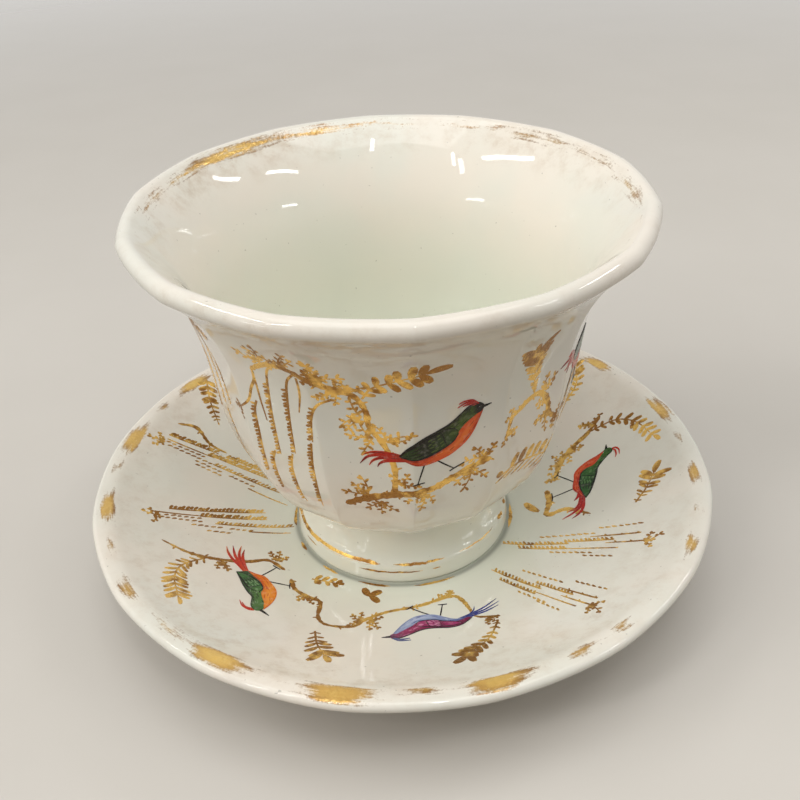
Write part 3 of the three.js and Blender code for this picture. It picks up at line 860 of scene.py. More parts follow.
def cup_scene(centre, mirror, palette):
    """A bird on a bough under a willow, with ferns at its side."""
    gold, paint = cup_brushes(centre, mirror)

    gold.branch([(-17.5, 42.8), (-14, 44.2), (-9, 45.6), (-2, 46.9), (5, 47.4), (10, 48), (15, 49.8),
                 (20, 51.6), (27, 53.6)], [1.7, 2.5, 2.0, 2.2, 2.1, 2.1, 1.5])
    gold.branch([(-2, 46.8), (-1.4, 54), (-2.6, 58.6), (-4.5, 62.5), (-7.6, 66.5), (-8, 70.5), (-10, 74.6),
                 (-14, 76.8)], [1.5, 1.3, 1.3, 1.4, 1.5])
    gold.branch([(-12, 75.9), (-18, 77.6), (-22, 79.2), (-26, 80.8), (-31, 80.8), (-35, 79.4),
                 (-38.8, 77.3)], [1.8, 1.5, 1.1], 0.15)
    gold.tufts((-10, 46.6, 2.3, 5.0), (-6, 44.4, -1.75, 4.8), (7, 46.6, -1.5, 4.4), (21, 51.4, -1.4, 5.0),
               (25, 53.8, 1.9, 4.6), (0, 50, 1.1, 3.6), (-7, 63.6, 3.2, 5.2), (-9.4, 69.4, 3.3, 4.8),
               (-3.2, 62.6, 0.8, 5.2), (-11, 76.4, 1.9, 3.6), (-18, 78.2, 2.2, 3.8), (-20, 79, 1.2, 4.6),
               (-28, 81.2, 1.5, 4.6), (-34, 80.6, 2.2, 4.8), (-15, 76.6, -2.2, 3.6))
    gold.fern([(-8.6, 74.5), (-6, 77.6), (-1.5, 79.4), (3, 80.8), (7, 81.6)], [1.9, 3.1, 3.7], 7, 1.15, 0.5,
              1.3)

    gold.tassel([(-38.6, 77.5), (-39.6, 74), (-42, 71), (-45, 66.5), (-51, 62.5)], (1, 1), -1, 0.75)
    gold.tufts((-49.5, 63, 3.4, 2.6))
    gold.tassels(
        (0.05, 1, (-41.6, 67.5), (-43.4, 64), (-44, 57), (-45, 46.5)),
        (1, 1, (-38.8, 77.5), (-39.8, 69), (-39.6, 62.5)),
        (0.26, 1, (-30.6, 80.6), (-33.4, 78), (-35.6, 72), (-37, 64.5), (-37.4, 53.5)),
        (0.05, 1, (-39.4, 54), (-41.4, 50), (-42, 41.5)),
        (0.26, 1, (-24.6, 80), (-27.6, 77), (-29.4, 72), (-30.8, 64.5), (-31.4, 55.5)),
        (0.05, 0.9, (-32.6, 55), (-34.2, 50.5), (-34.5, 43), (-33.8, 38.5)),
        (1, 1, (-24.2, 79), (-24.8, 74), (-26.6, 68.5)),
        (0.35, 1, (-16, 74), (-20.6, 71.8), (-23, 67.5), (-24, 61)),
        (0.02, 0.9, (-24.6, 60.5), (-25.6, 54), (-26, 47), (-26.6, 39.5)),
    )

    gold.fern([(41.5, 66), (39.2, 73.5), (37.8, 78.8)], [0.6, 2.9, 6.0], 17, 0.95, 0.26, 0.4)
    gold.branch([(31.4, 57.2), (33, 62.2), (36, 63.6), (39.8, 65), (44, 65), (48.3, 61.8), (50.3, 57.4),
                 (53.5, 54.8)], [0.8, 1.1, 1.4, 1.6, 1.7, 1.6, 1.1], 0.12)
    gold.tufts((45.4, 65, 0.7, 4.0), (48, 62, -2.4, 3.2), (50, 57.4, 3.6, 4.4), (34.4, 62.8, 1.9, 2.6),
               (32.2, 59, -1.0, 2.8), (53, 55, -0.4, 3.2))
    stem = gold.measure([(33, 46), (40, 46.4), (49, 44.8), (58, 42.2)])
    gold.stroke(smooth(stem, 0.6), [0.5, 0.6, 0.4])
    gold.leaf(stem[0], 2.6, 2.4, 2.0)
    for base in smooth(stem, 2.9)[1:]:
        gold.leaf(base, 1.15, 4.2, 2.1)
        gold.leaf(base, 3.6, 5.4, 0.75, 0.1)

    bird(paint.within((11, 61.1)), UPRIGHT, palette)


def side_scene(centre, palette):
    """A bird with its tail up on a bough that rises to a willow; it fills the gap beside two cup scenes."""
    gold, paint = cup_brushes(centre)

    gold.branch([(-30, 53), (-26, 55.5), (-20, 57), (-11, 57.2), (-3, 56), (4, 57.5), (9, 62), (11, 69),
                 (15, 75), (22, 78.5), (29, 78)], [1.1, 1.9, 2.0, 1.9, 1.7, 1.6, 1.1])
    gold.tufts((-24, 56, -1.6, 4.0), (-6, 56.2, -1.4, 4.2), (3, 57.6, 1.9, 3.8), (9.6, 64, 3.0, 4.6),
               (12, 72, 2.6, 4.4), (22, 78.8, 1.6, 4.2), (28.6, 78.4, 0.9, 4.2))
    gold.tassels(
        (0.45, 1, (20, 77), (26, 73), (29, 69.5), (29.6, 64.5), (30, 59.5)),
        (0.3, 1, (23, 78.4), (24.6, 73), (25, 66), (24.6, 57)),
        (0.25, 1, (17, 76.4), (19, 70), (19.6, 63), (19, 54)),
        (0.2, 1, (12.6, 72), (14, 66), (14.2, 59), (13.8, 50)),
        (0.05, 1, (24.6, 56), (25.4, 50), (25, 43)),
    )
    gold.fern([(-22, 46.5), (-14, 47.6), (-5, 46.4)], [2.4, 3.6, 3.0], 7, 0.95, 0.4)
    bird(paint.within((-12, 64), -0.48, 1.15), UPRIGHT, palette)


cup_scene(0, 1, "green")
cup_scene(180, -1, "blue")
side_scene(90, "ruby")
side_scene(-90, "leaf")


# The painting on the saucer

saucer_gold = Ink(saucer_top, GOLD_FILM, 21)
saucer_paint = Ink(saucer_top, PAINT_FILM, 22)
gold, paint = Brush(saucer_gold), Brush(saucer_paint)


def polar(angle, radius):
    """A point of the saucer from its plan angle in degrees."""
    return radius * np.array([math.sin(math.radians(angle)), -math.cos(math.radians(angle))])


# Kinds of strand: width of the stem, or 0 for leaves alone, length, spacing and lean of the leaves
COMB, FINE_COMB = (0.6, 1.75, 1.0, 0.9), (0.55, 1.4, 1.05, 0.9)
DASHES, LINE, TWIG = (0, 1.35, 1.6, 0.3), (0.5, 0.8, 9.0, 0.2), (0.6, 1.0, 4.0, 0.7)
# Rows of a hanging willow: how far off its middle line in millimetres, where each starts and ends between the
# knot and the end, and its kind
FULL_WILLOW = (
    (4.4, 0.08, 0.43, COMB), (3.8, 0.46, 0.86, COMB), (1.8, 0.03, 0.36, LINE), (1.6, 0.33, 0.84, COMB),
    (0.2, 0.06, 0.33, DASHES), (-1.1, 0.03, 0.37, DASHES), (-0.9, 0.40, 1.00, FINE_COMB),
    (-2.9, 0.24, 0.44, DASHES), (-2.8, 0.50, 0.68, DASHES), (-3.4, 0.66, 0.98, LINE),
    (-4.7, 0.33, 0.52, DASHES),
)
WORN_WILLOW = (
    (5.6, 0.08, 0.38, DASHES), (3.8, 0.42, 0.80, DASHES), (2.6, 0.06, 0.40, TWIG),
    (1.4, 0.22, 0.56, FINE_COMB), (0.6, 0.54, 1.00, FINE_COMB), (0.2, 0.00, 0.30, TWIG),
    (-1.4, 0.16, 0.56, LINE), (-2.0, 0.50, 0.84, FINE_COMB), (-3.4, 0.34, 0.62, DASHES),
    (-4.4, 0.20, 0.42, DASHES),
)


def strands(knot, end, side, fan, rows=FULL_WILLOW):
    """Willow strands hanging inwards from a knot near the lip; they fan out inwards or, below 0, outwards."""
    chance = gold.chance
    knot, end = np.asarray(knot, float), np.asarray(end, float)
    length = np.linalg.norm(end - knot)
    inward = (end - knot) / length
    across = side * np.array([-inward[1], inward[0]])
    sag = chance.uniform(0.015, 0.045) * length
    for off, begin, finish, (width, tooth, pitch, lean) in rows:
        off, slip = off + chance.normal(0, 0.3), chance.uniform(-0.05, 0.05)
        path = []
        for share in np.linspace(begin, finish, 5) + slip:
            drift = off * (1 + fan * (share - 0.5)) + sag * math.sin(math.pi * share)
            path.append(knot + inward * length * share + across * drift)
        gold.tassel(path, (0.02, 0.97), side, width, tooth, pitch, lean)
    for turn, reach in ((-0.9, 2.6), (0.1, 3.4), (1.0, 2.8)):
        gold.sprig(knot + inward * 1.5, math.atan2(-inward[1], -inward[0]) + turn, reach, 5, 0.7)


# The front
gold.branch([(-61, -19), (-54, -21.5), (-47, -21.6), (-40, -20.5), (-35, -19), (-30.5, -22.5)],
            [0.5, 0.9, 1.2, 1.3, 1.2, 0.8])
gold.branch([(-28.8, -26), (-27.5, -30), (-24, -33), (-21, -35), (-21.2, -41), (-19, -44.5), (-13, -45),
             (-10, -42), (-5, -39), (1, -37.5), (4, -36.6), (11, -34), (13.5, -36), (15, -40), (16.4, -43.5),
             (21.5, -44.5)], [1.2, 1.1, 0.9, 1.1, 0.9, 1.2, 1.0, 0.7])
gold.fern([(-50, -22), (-54.6, -27), (-55.4, -33), (-53, -41)], [1.8, 3.0, 3.8, 3.4], 13, 0.95, 0.31)
gold.fern([(-21.4, -47.6), (-20.6, -53), (-18.6, -58.4)], [1.2, 3.2, 5.0], 7, 1.1, 0.34, 0.7)
gold.fern([(21, -46.6), (18, -54), (12.4, -60.5)], [1.0, 2.4, 4.2], 9, 0.9, 0.46)
gold.sprig((-23.6, -25.6), -0.25, 6.4, 8, 1.2)
for turn in (0.1, 1.6, -1.3):
    gold.leaf((-9, -32.4), turn + 0.4, 3.4, 1.9)
gold.tufts((-33, -19, 1.2, 3.4), (-46, -22, -1.4, 3.2), (-24, -33, -2.4, 2.6), (-11, -43, 2.4, 3.2),
           (-9, -42, -0.6, 3.2), (10, -34.6, 1.6, 2.8), (19, -44.6, -1.2, 2.6))
bird(paint.within((-36.5, -30), math.radians(-72.5), mirror=-1), STOOPED, "leaf")
bird(paint.within((5.5, -44), math.radians(-154.5)), SLENDER, "blue")

# The right
gold.branch([(42.5, 7), (45, 13), (49, 18), (54, 21.5), (58.4, 26)], [1.5, 1.5, 1.3, 0.9])
gold.branch([(40, 4), (40, -1), (38.6, -6), (44, -5.4), (49.4, -10)], [1.5, 1.6, 1.5, 1.2, 0.8])
gold.fern([(55, 22), (62, 22.6), (67, 18.6), (70, 11)], [1.6, 2.8, 2.8], 10, 0.95)
gold.fern([(60.4, -11.6), (63.8, -7.8), (67, -3)], [0.8, 2.6, 4.8], 7, 1.2, 0.36, 0.9)
gold.leaf((36.8, -4), 2.2, 5.4, 2.2)
gold.tufts((46, 14, 2.3, 3.4), (48, 17, -0.4, 3.4), (56, 24, 2.2, 3.2), (43.4, 8, 3.0, 2.6))
bird(paint.within((52, 5), math.radians(58), mirror=-1), STRETCHED, "ruby")

# Willows on both sides
strands((60, -29), (26, -15.5), -1, -0.7, WORN_WILLOW)
strands((42.4, -49.4), (20.5, -24), -1, -0.4, WORN_WILLOW)
strands((-64.6, -9.6), (-31, -3.5), 1, 0.5)
strands((-68, 20), (-31, 9), 1, 0.5)

# The back, of which the photograph shows little
gold.branch([(-64, 28), (-59, 28.6), (-55, 24), (-50, 22)], [0.6, 1.2, 0.9, 0.5])
gold.fern([(-58, 47), (-56.4, 40), (-53.6, 33)], [3.4, 2.4, 1.0], 9, 1.1)
gold.fern([(50, 36), (54, 41), (55, 48)], [1.0, 2.4, 3.2], 8, 1.0)
gold.branch([(-26, 40), (-16, 36), (-6, 37), (6, 35), (16, 38), (26, 36)], [0.7, 1.3, 1.4, 1.3, 0.9])
gold.tufts((-20, 38, 1.8, 3.2), (-10, 37, -1.4, 3.0), (12, 37, 1.2, 3.2), (22, 37, -1.2, 3.0))
bird(paint.within((1, 47), math.radians(6)), STOOPED, "ruby")
gold.fern([(-18, 52), (-22, 58), (-24, 64)], [1.0, 2.2, 3.2], 8, 1.1)
gold.fern([(24, 50), (28, 56), (30, 62)], [1.0, 2.2, 3.2], 8, 1.1)
strands((46, 50), (24, 25), 1, 0.4, WORN_WILLOW)
strands((-42, 54), (-21, 27), -1, 0.4)


# Worn gilt lines round the foot and on the edge of the well

LINE_STEP = 1.5


def gilt_line(ink, at, spans, width):
    """Broken runs of a brushed line; at gives its point at a plan angle in degrees."""
    for start, end, strength in spans:
        arc = np.arange(start, end, LINE_STEP)
        path = np.array([at(a) for a in arc]) + ink.chance.normal(0, 0.05, (len(arc), 2))
        wear = np.concatenate([[0.1], ink.chance.uniform(0.6, 1.1, max(3, len(arc) // 4)), [0.1]])
        ink.stroke(path, wear * width * strength)


foot_gold = Ink(foot_wall, GOLD_FILM, 31)
band = WELL_HEIGHT + FOOT_BAND_HEIGHT
on_foot = lambda height: lambda angle: (math.radians(angle) * FOOT_BASE_RADIUS, height)
gilt_line(foot_gold, on_foot(band + 0.3), [(-178, -120, 0.8), (-112, -12, 1.1), (-6, 22, 0.7), (30, 58, 0.3),
                                           (64, 72, 0.8), (78, 84, 0.9), (98, 150, 0.7), (156, 176, 0.8)],
          0.85)
gilt_line(foot_gold, on_foot(band - 1.7), [(-88, -76, 0.7), (-64, -52, 0.6), (-24, 10, 0.8), (14, 20, 0.6),
                                           (84, 90, 0.7), (120, 140, 0.6)], 0.7)
gilt_line(saucer_gold, lambda angle: polar(angle, FOOT_BASE_RADIUS + 1),
          [(-98, -80, 1), (-68, -60, 0.9), (-46, -34, 0.9), (-24, -6, 0.8), (4, 26, 0.8), (72, 92, 1),
           (130, 150, 1), (160, 178, 0.8), (-170, -150, 1), (-130, -112, 0.8)], 0.9)


# Materials

class Nodes:
    """The shader nodes of a material or a world. Inputs are values, or sockets to link."""

    def __init__(self, owner):
        owner.use_nodes = True
        self.tree = owner.node_tree

    def feed(self, made, inputs):
        for key, value in inputs.items():
            if isinstance(value, bpy.types.NodeSocket):
                self.tree.links.new(value, made.inputs[key])
            else:
                made.inputs[key].default_value = value

    def new(self, kind, inputs, **settings):
        """A node with its settings and inputs."""
        made = self.tree.nodes.new("ShaderNode" + kind)
        for key, value in settings.items():
            setattr(made, key, value)
        self.feed(made, inputs)
        return made

    def coordinates(self, kind="Object"):
        return self.new("TexCoord", {}).outputs[kind]

    def attribute(self, name, output="Fac"):
        return self.new("Attribute", {}, attribute_name=name).outputs[output]

    def noise(self, coordinates, size, detail, roughness=0.5):
        """Noise with features about that many millimetres across."""
        made = self.new("TexNoise", {"Vector": coordinates, "Scale": 1 / (size * MM), "Detail": detail,
                                     "Roughness": roughness})
        return made.outputs["Fac"]

    def ramp(self, value, low, high, to_low=0.0, to_high=1.0):
        """A value eased from one range into another."""
        made = self.new("MapRange", {"Value": value, "From Min": low, "From Max": high, "To Min": to_low,
                                     "To Max": to_high}, interpolation_type="SMOOTHSTEP")
        return made.outputs["Result"]

    def math(self, operation, first, second):
        return self.new("Math", {0: first, 1: second}, operation=operation).outputs["Value"]

    def centred(self, value, gain):
        """Noise moved to swing about zero."""
        return self.math("MULTIPLY", self.math("SUBTRACT", value, 0.5), gain)

    def mix(self, share, first, second):
        """A colour mixed from two."""
        made = self.new("Mix", {}, data_type="RGBA")
        keys = {socket.name: number for number, socket in enumerate(made.inputs) if socket.enabled}
        self.feed(made, {keys["Factor"]: share, keys["A"]: first, keys["B"]: second})
        return [socket for socket in made.outputs if socket.enabled][0]

    def bump(self, height, strength, distance, **inputs):
        """A normal for a height, with the depth of its relief in metres."""
        made = self.new("Bump", {"Height": height, "Strength": strength, "Distance": distance, **inputs})
        return made.outputs["Normal"]

    def seen_rays(self):
        """1 for rays that show a thing straight or mirrored, 0 for those that only carry its light."""
        ray = self.new("LightPath", {}).outputs
        mirrored = self.math("MAXIMUM", ray["Is Glossy Ray"], ray["Is Transmission Ray"])
        return self.math("MAXIMUM", ray["Is Camera Ray"], mirrored)


class Surface(Nodes):
    """The nodes of a new material."""

    def __init__(self, name):
        self.material = bpy.data.materials.new(name)
        super().__init__(self.material)
        self.shader = self.tree.nodes["Principled BSDF"]
        self.place = self.coordinates()

    def finished(self, inputs):
        self.feed(self.shader, inputs)
        return self.material


def rgba(hex_colour):
    return (*linear(hex_colour), 1.0)


GLAZE_WARM = rgba("#eee6d9")
GLAZE_COOL = rgba("#e7e5d9")
GLAZE_STAIN = rgba("#b0926c")
GLAZE_SPECK = rgba("#8d8577")
BASIN_POOL = rgba("#dfe3d3")
# Painted shade: the dark grey-green of the foot's shadow and reflection round its base
FOOT_SHADE_COLOUR = rgba("#8a8d82")
GOLD_DULL = rgba("#9c6c2e")
GOLD_BRIGHT = rgba("#eec268")
# Burnished pale gold, which also serves as a painted highlight on the thickest gilding
GOLD_BURNISH_AND_HIGHLIGHT = rgba("#fbd272")

GLAZE_IOR = 1.52
WORN_GOLD_METALLIC = 0.6
WORN_GOLD_ROUGHNESS = 0.2
GOLD_METALLIC = 0.7
ENAMEL_SPECULAR = 0.25


def glaze(name, worn=False):
    """Clear glaze on porcelain: pooled tints, specks, stains, a painted shadow round the foot and worn
    gilding with painted highlights, where the mesh says so.
    """
    nodes = Surface(name)
    place, noise, ramp, math_of = nodes.place, nodes.noise, nodes.ramp, nodes.math
    colour = nodes.mix(ramp(noise(place, 34, 3), 0.35, 0.65), GLAZE_WARM, GLAZE_COOL)
    colour = nodes.mix(nodes.attribute("pool"), colour, BASIN_POOL)
    # Painted shade round the foot: its shadow and reflection darken the ring at the edge of the well
    colour = nodes.mix(nodes.attribute("groove"), colour, FOOT_SHADE_COLOUR)
    specks = ramp(noise(place, 1.1, 1), 0.76, 0.82, 0, 0.5)
    colour = nodes.mix(specks, colour, GLAZE_SPECK)
    smudge = ramp(noise(place, 5, 6, 0.7), 0.42, 0.75)
    colour = nodes.mix(math_of("MULTIPLY", nodes.attribute("stain"), smudge), colour, GLAZE_STAIN)
    roughness = ramp(noise(place, 9, 4), 0.3, 0.7, 0.02, 0.06)
    normal = nodes.bump(noise(place, 16, 2), 0.06, 0.001)
    looks = {"IOR": GLAZE_IOR}
    if worn:
        left = nodes.attribute("gilt")
        along_lip = nodes.new("CombineXYZ", {"X": nodes.attribute("around"), "Y": nodes.attribute("across")})
        brushed = along_lip.outputs["Vector"]
        streaks = nodes.centred(noise(brushed, 1.1, 3, 0.6), 1.3)
        scatter = math_of("ADD", streaks, nodes.centred(noise(place, 0.7, 4, 0.7), 0.7))
        cover = ramp(math_of("ADD", left, scatter), 0.36, 0.78, 0, 0.94)
        thick = math_of("ADD", noise(brushed, 2, 3), left)
        gold = nodes.mix(ramp(thick, 0.8, 1.4), GOLD_DULL, GOLD_BRIGHT)
        # Painted highlight: the thickest gold turns pale, partly burnished and partly standing in for glints
        burnish_and_highlight = math_of("ADD", noise(brushed, 3, 4, 0.6), left)
        gold = nodes.mix(ramp(burnish_and_highlight, 1.3, 1.6), gold, GOLD_BURNISH_AND_HIGHLIGHT)
        colour = nodes.mix(cover, colour, gold)
        looks["Metallic"] = math_of("MULTIPLY", cover, WORN_GOLD_METALLIC)
        roughness = math_of("ADD", roughness, math_of("MULTIPLY", cover, WORN_GOLD_ROUGHNESS))
        normal = nodes.bump(noise(place, 1.2, 3), cover, 0.0004, Normal=normal)
    return nodes.finished({"Base Color": colour, "Roughness": roughness, "Normal": normal, **looks})


def gilding(name, wear):
    """Burnished gold, dull in places, rubbed through to the glaze by a share given as wear."""
    nodes = Surface(name)
    place, noise, ramp = nodes.place, nodes.noise, nodes.ramp
    patches = nodes.math("ADD", noise(place, 2.2, 4), nodes.centred(noise(place, 14, 2), 1.2))
    gold = nodes.mix(ramp(patches, 0.36, 0.66), GOLD_DULL, GOLD_BRIGHT)
    rubbed = ramp(noise(place, 1.6, 6, 0.7), 0.74 - wear, 0.82 - wear)
    return nodes.finished({
        "Base Color": nodes.mix(rubbed, gold, GLAZE_WARM),
        "Metallic": ramp(rubbed, 0, 1, GOLD_METALLIC, 0.0),
        "Roughness": ramp(noise(place, 2, 3), 0.3, 0.7, 0.2, 0.42),
        "Normal": nodes.bump(noise(place, 0.5, 3), 0.3, 0.0003),
    })


def enamel(name):
    """Overglaze enamel in the colours of the strokes, slightly uneven."""
    nodes = Surface(name)
    place, noise, ramp = nodes.place, nodes.noise, nodes.ramp
    thin = ramp(noise(place, 1.2, 4), 0.5, 0.8, 0, 0.14)
    return nodes.finished({
        "Base Color": nodes.mix(thin, nodes.attribute("tint", "Color"), GLAZE_WARM),
        "Roughness": ramp(noise(place, 1.0, 2), 0.3, 0.7, 0.14, 0.3),
        "Specular IOR Level": ENAMEL_SPECULAR,
    })


# What the glaze's attributes say, by plan angle in degrees and by arc length along the section

def bumps(angles, *peaks):
    """A sum of bumps round the plan, each of (angle in degrees, width, height)."""
    total = np.zeros_like(angles)
    for centre, width, height in peaks:
        away = (angles - centre + 180) % 360 - 180
        total += height * np.exp(-(away / width) ** 2 / 2)
    return total


def bell(values, middle, width):
    return np.exp(-((values - middle) / width) ** 2)


crest_arc = bowl.arc[bowl_crest]
edge_arc = saucer.arc[saucer_edge]
well_arc = saucer.arc[-1]


def lip_gilt(angles, arc):
    """How much of the cup lip's gilding is left: most of it at the back on the left."""
    left = bumps(angles, (-128, 17, 0.84), (-162, 16, 0.46), (165, 18, 0.32), (138, 12, 0.36),
                 (112, 14, 0.44), (88, 8, 0.44), (-92, 8, 0.44), (-58, 6, 0.3), (60, 10, 0.2),
                 (20, 40, 0.05))
    return left * bell(arc - crest_arc, 3.2, 2.2)


def lip_stain(angles, arc):
    """Old stains just inside the cup's lip, and wear on its outer edge."""
    inside = bumps(angles, (-120, 45, 0.9), (130, 40, 0.7), (0, 60, 0.25))
    outside = 0.15 + bumps(angles, (-38, 22, 0.4), (20, 25, 0.2), (70, 20, 0.2))
    return 0.46 * inside * bell(arc - crest_arc, 6, 5) + 0.55 * outside * bell(arc - crest_arc, -2.5, 1.8)


def basin_pool(angles, arc):
    """Glaze pooled towards the floor of the cup."""
    return np.clip((arc - crest_arc - 25) / 45, 0, 1)


def well_groove(angles, arc):
    """Painted shade: the foot's shadow and its reflection in the glaze, as a dark grey-green ring between the
    foot and the edge of the well.
    """
    return 0.8 * bell(well_arc - arc - FOOT_BASE_RADIUS, 0.5, 0.8)


def dish_pool(angles, arc):
    """Glaze pooled in the dish round the well."""
    return 0.75 * bell(well_arc - arc - FOOT_BASE_RADIUS, 0, 15)


def foot_pool(angles, arc):
    """Glaze run down on the foot."""
    return np.full_like(arc, 0.6)


# Dabs of gold along the saucer's lip: plan angle and half length in degrees, and how much gold is left
RIM_DABS = (
    (-32, 4.2, 1.0), (-11, 4.2, 0.95), (2, 1.8, 0.6), (13.5, 4.0, 0.95), (28, 2.2, 0.6), (37, 1.8, 0.55),
    (61.5, 2.2, 0.75), (72, 1.4, 0.45), (83, 2.6, 0.7), (95, 1.5, 0.5), (105, 3.4, 0.8), (126.5, 3.0, 0.85),
    (138, 1.6, 0.5), (149, 3.4, 0.8), (160, 1.5, 0.5), (171, 3.2, 0.8), (-43.5, 2.4, 0.45), (-56, 2.8, 0.65),
    (-69, 1.6, 0.5), (-80.5, 3.4, 0.85), (-93, 1.6, 0.5), (-103, 3.6, 0.9), (-115, 1.6, 0.5),
    (-126, 3.4, 0.9), (-138, 1.6, 0.5), (-149, 3.2, 0.8), (-160, 1.5, 0.5), (-171, 3.4, 0.8),
)


def rim_gilt(angles, arc):
    """Dabs of gold along the saucer's lip, rubbed at their edges, and faint traces between them."""
    chance = np.random.default_rng(41)
    cover = 0.13 * bell(arc - edge_arc, 5, 1.3)
    for spot, reach, strength in RIM_DABS:
        place = edge_arc + 4.0 + chance.uniform(-0.6, 0.6)
        depth = (0.7 + 0.45 * reach) * chance.uniform(0.9, 1.15)
        cover += bumps(angles, (spot, reach, strength)) * np.exp(-((arc - place) / depth) ** 4)
    return cover


def saucer_stain(angles, arc):
    """Old stains in from the saucer's lip."""
    share = bumps(angles, (-30, 30, 0.8), (40, 30, 0.6), (-110, 30, 0.5), (150, 40, 0.6))
    dish = 0.012 + bumps(angles, (25, 9, 0.2), (-38, 12, 0.16), (-70, 10, 0.12), (60, 9, 0.12))
    return 0.44 * share * bell(arc - edge_arc, 10, 9) + dish * bell(arc - edge_arc, 28, 15)


# Brushed gold is streaked along the lip: a step around it counts for less than a step across it
STREAK = 0.14


def around(radius):
    return lambda angles, arc: np.radians(angles) * radius * STREAK * MM


def across(angles, arc):
    return arc * MM


# Pieces

def dress(piece, material, body, slot, *stands_for):
    """Gives a piece its material and its body, and hides the CAD nodes that it stands for; slot is not used.
    """
    piece.data.materials.append(material)
    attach(piece, body)
    if stands_for:
        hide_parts(*stands_for)


bowl_piece = bowl.mesh("bowl", CUP_PANELS * STEPS_PER_PANEL, gilt=lip_gilt, stain=lip_stain, pool=basin_pool,
                       around=around(LIP_RADIUS), across=across)
saucer_piece = saucer.mesh("saucer_dish", SAUCER_LOBES * STEPS_PER_LOBE, gilt=rim_gilt, stain=saucer_stain,
                           pool=dish_pool, groove=well_groove, around=around(SAUCER_RADIUS), across=across)
foot_piece = foot.mesh("foot", FOOT_SIDES, closed=True, pool=foot_pool)
dress(bowl_piece, glaze("bowl_glaze", worn=True), "cup", "bowl_glaze", "cup_bowl")
dress(foot_piece, glaze("foot_glaze"), "cup", "foot_glaze", "cup_foot")
dress(saucer_piece, glaze("saucer_glaze", worn=True), "saucer", "saucer_glaze", "saucer")
bird_enamel = enamel("enamel")
dress(cup_gold.object("cup_gilding"), gilding("cup_gold", 0.02), "cup", "bowl_glaze")
dress(cup_paint.object("cup_birds"), bird_enamel, "cup", "bowl_glaze")
dress(foot_gold.object("foot_gilding"), gilding("foot_gold", 0.16), "cup", "foot_glaze")
dress(saucer_gold.object("saucer_gilding"), gilding("saucer_gold", 0.1), "saucer", "saucer_glaze")
dress(saucer_paint.object("saucer_birds"), bird_enamel, "saucer", "saucer_glaze")


# Floor, light and camera

# The floor is pale to look at, and throws back as little light as the table in the photograph.
# Between two distances from its middle, in metres, it fades into the backdrop.
FLOOR_HALF = 3.0
FLOOR_HEIGHT = -0.0001
FLOOR_FADE = (0.3, 1.1)
FLOOR_ROUGHNESS = 0.62
FLOOR_SHADE = rgba("#8a8175")
FLOOR_PAPER = rgba("#cfcac1"), rgba("#d6d1c9")

floor_mesh = bpy.data.meshes.new("floor")
corners = [(x * FLOOR_HALF, y * FLOOR_HALF, FLOOR_HEIGHT) for x, y in ((-1, -1), (1, -1), (1, 1), (-1, 1))]
floor_mesh.from_pydata(corners, [], [(0, 1, 2, 3)])
floor = bpy.data.objects.new("floor", floor_mesh)
bpy.context.scene.collection.objects.link(floor)
nodes = Surface("floor_paper")
paper = nodes.mix(nodes.noise(nodes.place, 60, 5), *FLOOR_PAPER)
floor_mesh.materials.append(nodes.finished({"Base Color": nodes.mix(nodes.seen_rays(), FLOOR_SHADE, paper),
                                            "Roughness": FLOOR_ROUGHNESS}))
away = nodes.new("VectorMath", {0: nodes.place}, operation="LENGTH").outputs["Value"]
faded = nodes.new("MixShader", {0: nodes.ramp(away, *FLOOR_FADE), 1: nodes.shader.outputs["BSDF"],
                                2: nodes.new("BsdfTransparent", {}).outputs["BSDF"]})
nodes.feed(nodes.tree.nodes["Material Output"], {"Surface": faded.outputs["Shader"]})
floor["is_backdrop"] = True


def lamp(name, azimuth, elevation, distance, size, power):
    """A rectangular light aimed at the cup: degrees from the front and up, then metres and watts."""
    light = bpy.data.lights.new(name, "AREA")
    light.shape = "RECTANGLE"
    light.size, light.size_y = size
    light.energy = power
    made = bpy.data.objects.new(name, light)
    turn, rise = math.radians(azimuth), math.radians(elevation)
    away = Vector((math.cos(rise) * math.sin(turn), -math.cos(rise) * math.cos(turn), math.sin(rise)))
    made.location = CUP_MIDDLE + distance * away
    made.rotation_euler = (-away).to_track_quat("-Z", "Y").to_euler()
    made.visible_camera = False
    bpy.context.scene.collection.objects.link(made)


CUP_MIDDLE = Vector((0, 0, 0.06))
STRIP_DISTANCE = 0.9
STRIP_WATTS = 50
lamp("top", 0, 84, 1.3, (1.2, 1.2), 7.7)
# Narrow lights that the glaze mirrors as bright bars
for number, (azimuth, elevation, size) in enumerate((
    (11, 61, (0.05, 0.2)), (-44, 44, (0.045, 0.2)), (-51, 37, (0.045, 0.2)), (-83, 44, (0.4, 0.05)),
    (69, 40, (0.3, 0.045)), (107, 39, (0.3, 0.045)), (-58, 13, (0.14, 0.02)), (66, 15, (0.14, 0.02)),
)):
    lamp(f"strip_{number}", azimuth, elevation, STRIP_DISTANCE, size, STRIP_WATTS * size[0] * size[1])

# An even room with one wide soft light from the left, its middle given as a direction. Seen straight or in a
# mirror, the room is a plain backdrop that darkens from a height, as a share of a unit step, to the zenith.
ROOM_COLOUR = (1.0, 0.98, 0.95, 1)
ROOM_LEVEL = 0.28
SIDE_LIGHT = Vector((-0.8, -0.26, 0.42)).normalized()
SIDE_LIGHT_LEVEL = 2.9
SIDE_LIGHT_FOCUS = 20.0
BACKDROP_LEVEL = 0.7
BACKDROP_TOP = 0.35
ZENITH_LEVEL = 0.25

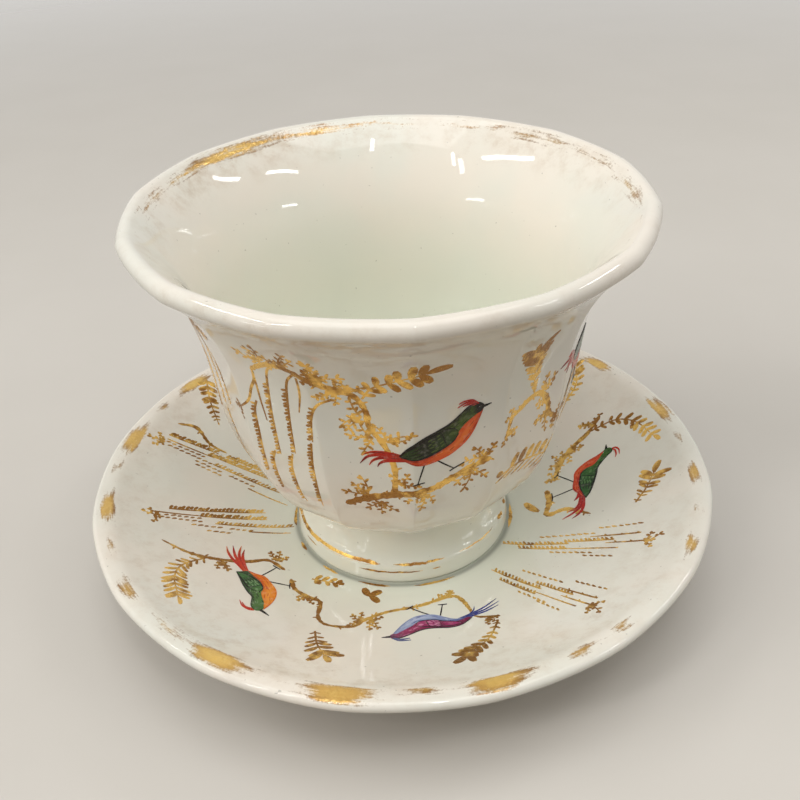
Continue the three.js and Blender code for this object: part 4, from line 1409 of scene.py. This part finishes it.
world = bpy.data.worlds.new("studio")
bpy.context.scene.world = world
nodes = Nodes(world)
looking = nodes.coordinates("Generated")
facing = nodes.new("VectorMath", {0: looking, 1: SIDE_LIGHT}, operation="DOT_PRODUCT").outputs["Value"]
lobe = nodes.math("POWER", nodes.math("MAXIMUM", facing, 0.0), SIDE_LIGHT_FOCUS)
lighting = nodes.math("ADD", nodes.math("MULTIPLY", lobe, SIDE_LIGHT_LEVEL), ROOM_LEVEL)
upward = nodes.new("SeparateXYZ", {0: looking}).outputs["Z"]
backdrop = nodes.ramp(upward, BACKDROP_TOP, 1.0, BACKDROP_LEVEL, ZENITH_LEVEL)
shown = nodes.new("Mix", {0: nodes.seen_rays(), 2: lighting, 3: backdrop}).outputs[0]
nodes.feed(nodes.tree.nodes["Background"], {"Strength": shown, "Color": ROOM_COLOUR})

# The photograph's camera: its place in millimetres, its dip and roll in radians, and its focal length in
# pixels of an 800 pixel frame
CAMERA_PLACE = Vector((0.647, -207.52, 181.205)) * MM
CAMERA_DIP = 0.585
CAMERA_ROLL = -0.046
FRAME_PIXELS = 800
FOCAL_PIXELS = 981.66
SENSOR = 36.0

camera = bpy.data.objects.new("camera", bpy.data.cameras.new("camera"))
camera.data.sensor_width = SENSOR
camera.data.lens = FOCAL_PIXELS / FRAME_PIXELS * SENSOR
ahead = Vector((0, math.cos(CAMERA_DIP), -math.sin(CAMERA_DIP)))
level, upright = Vector((1, 0, 0)), Vector((0, math.sin(CAMERA_DIP), math.cos(CAMERA_DIP)))
right = math.cos(CAMERA_ROLL) * level + math.sin(CAMERA_ROLL) * upright
above = -math.sin(CAMERA_ROLL) * level + math.cos(CAMERA_ROLL) * upright
axes = Matrix((right, above, -ahead)).transposed().to_4x4()
camera.matrix_world = Matrix.Translation(CAMERA_PLACE) @ axes
bpy.context.scene.collection.objects.link(camera)
bpy.context.scene.camera = camera
bpy.context.scene.view_settings.view_transform = "Standard"

{name: [list(corner) for corner in box] for name, box in (("cad", cad_box), ("visual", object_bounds()))}
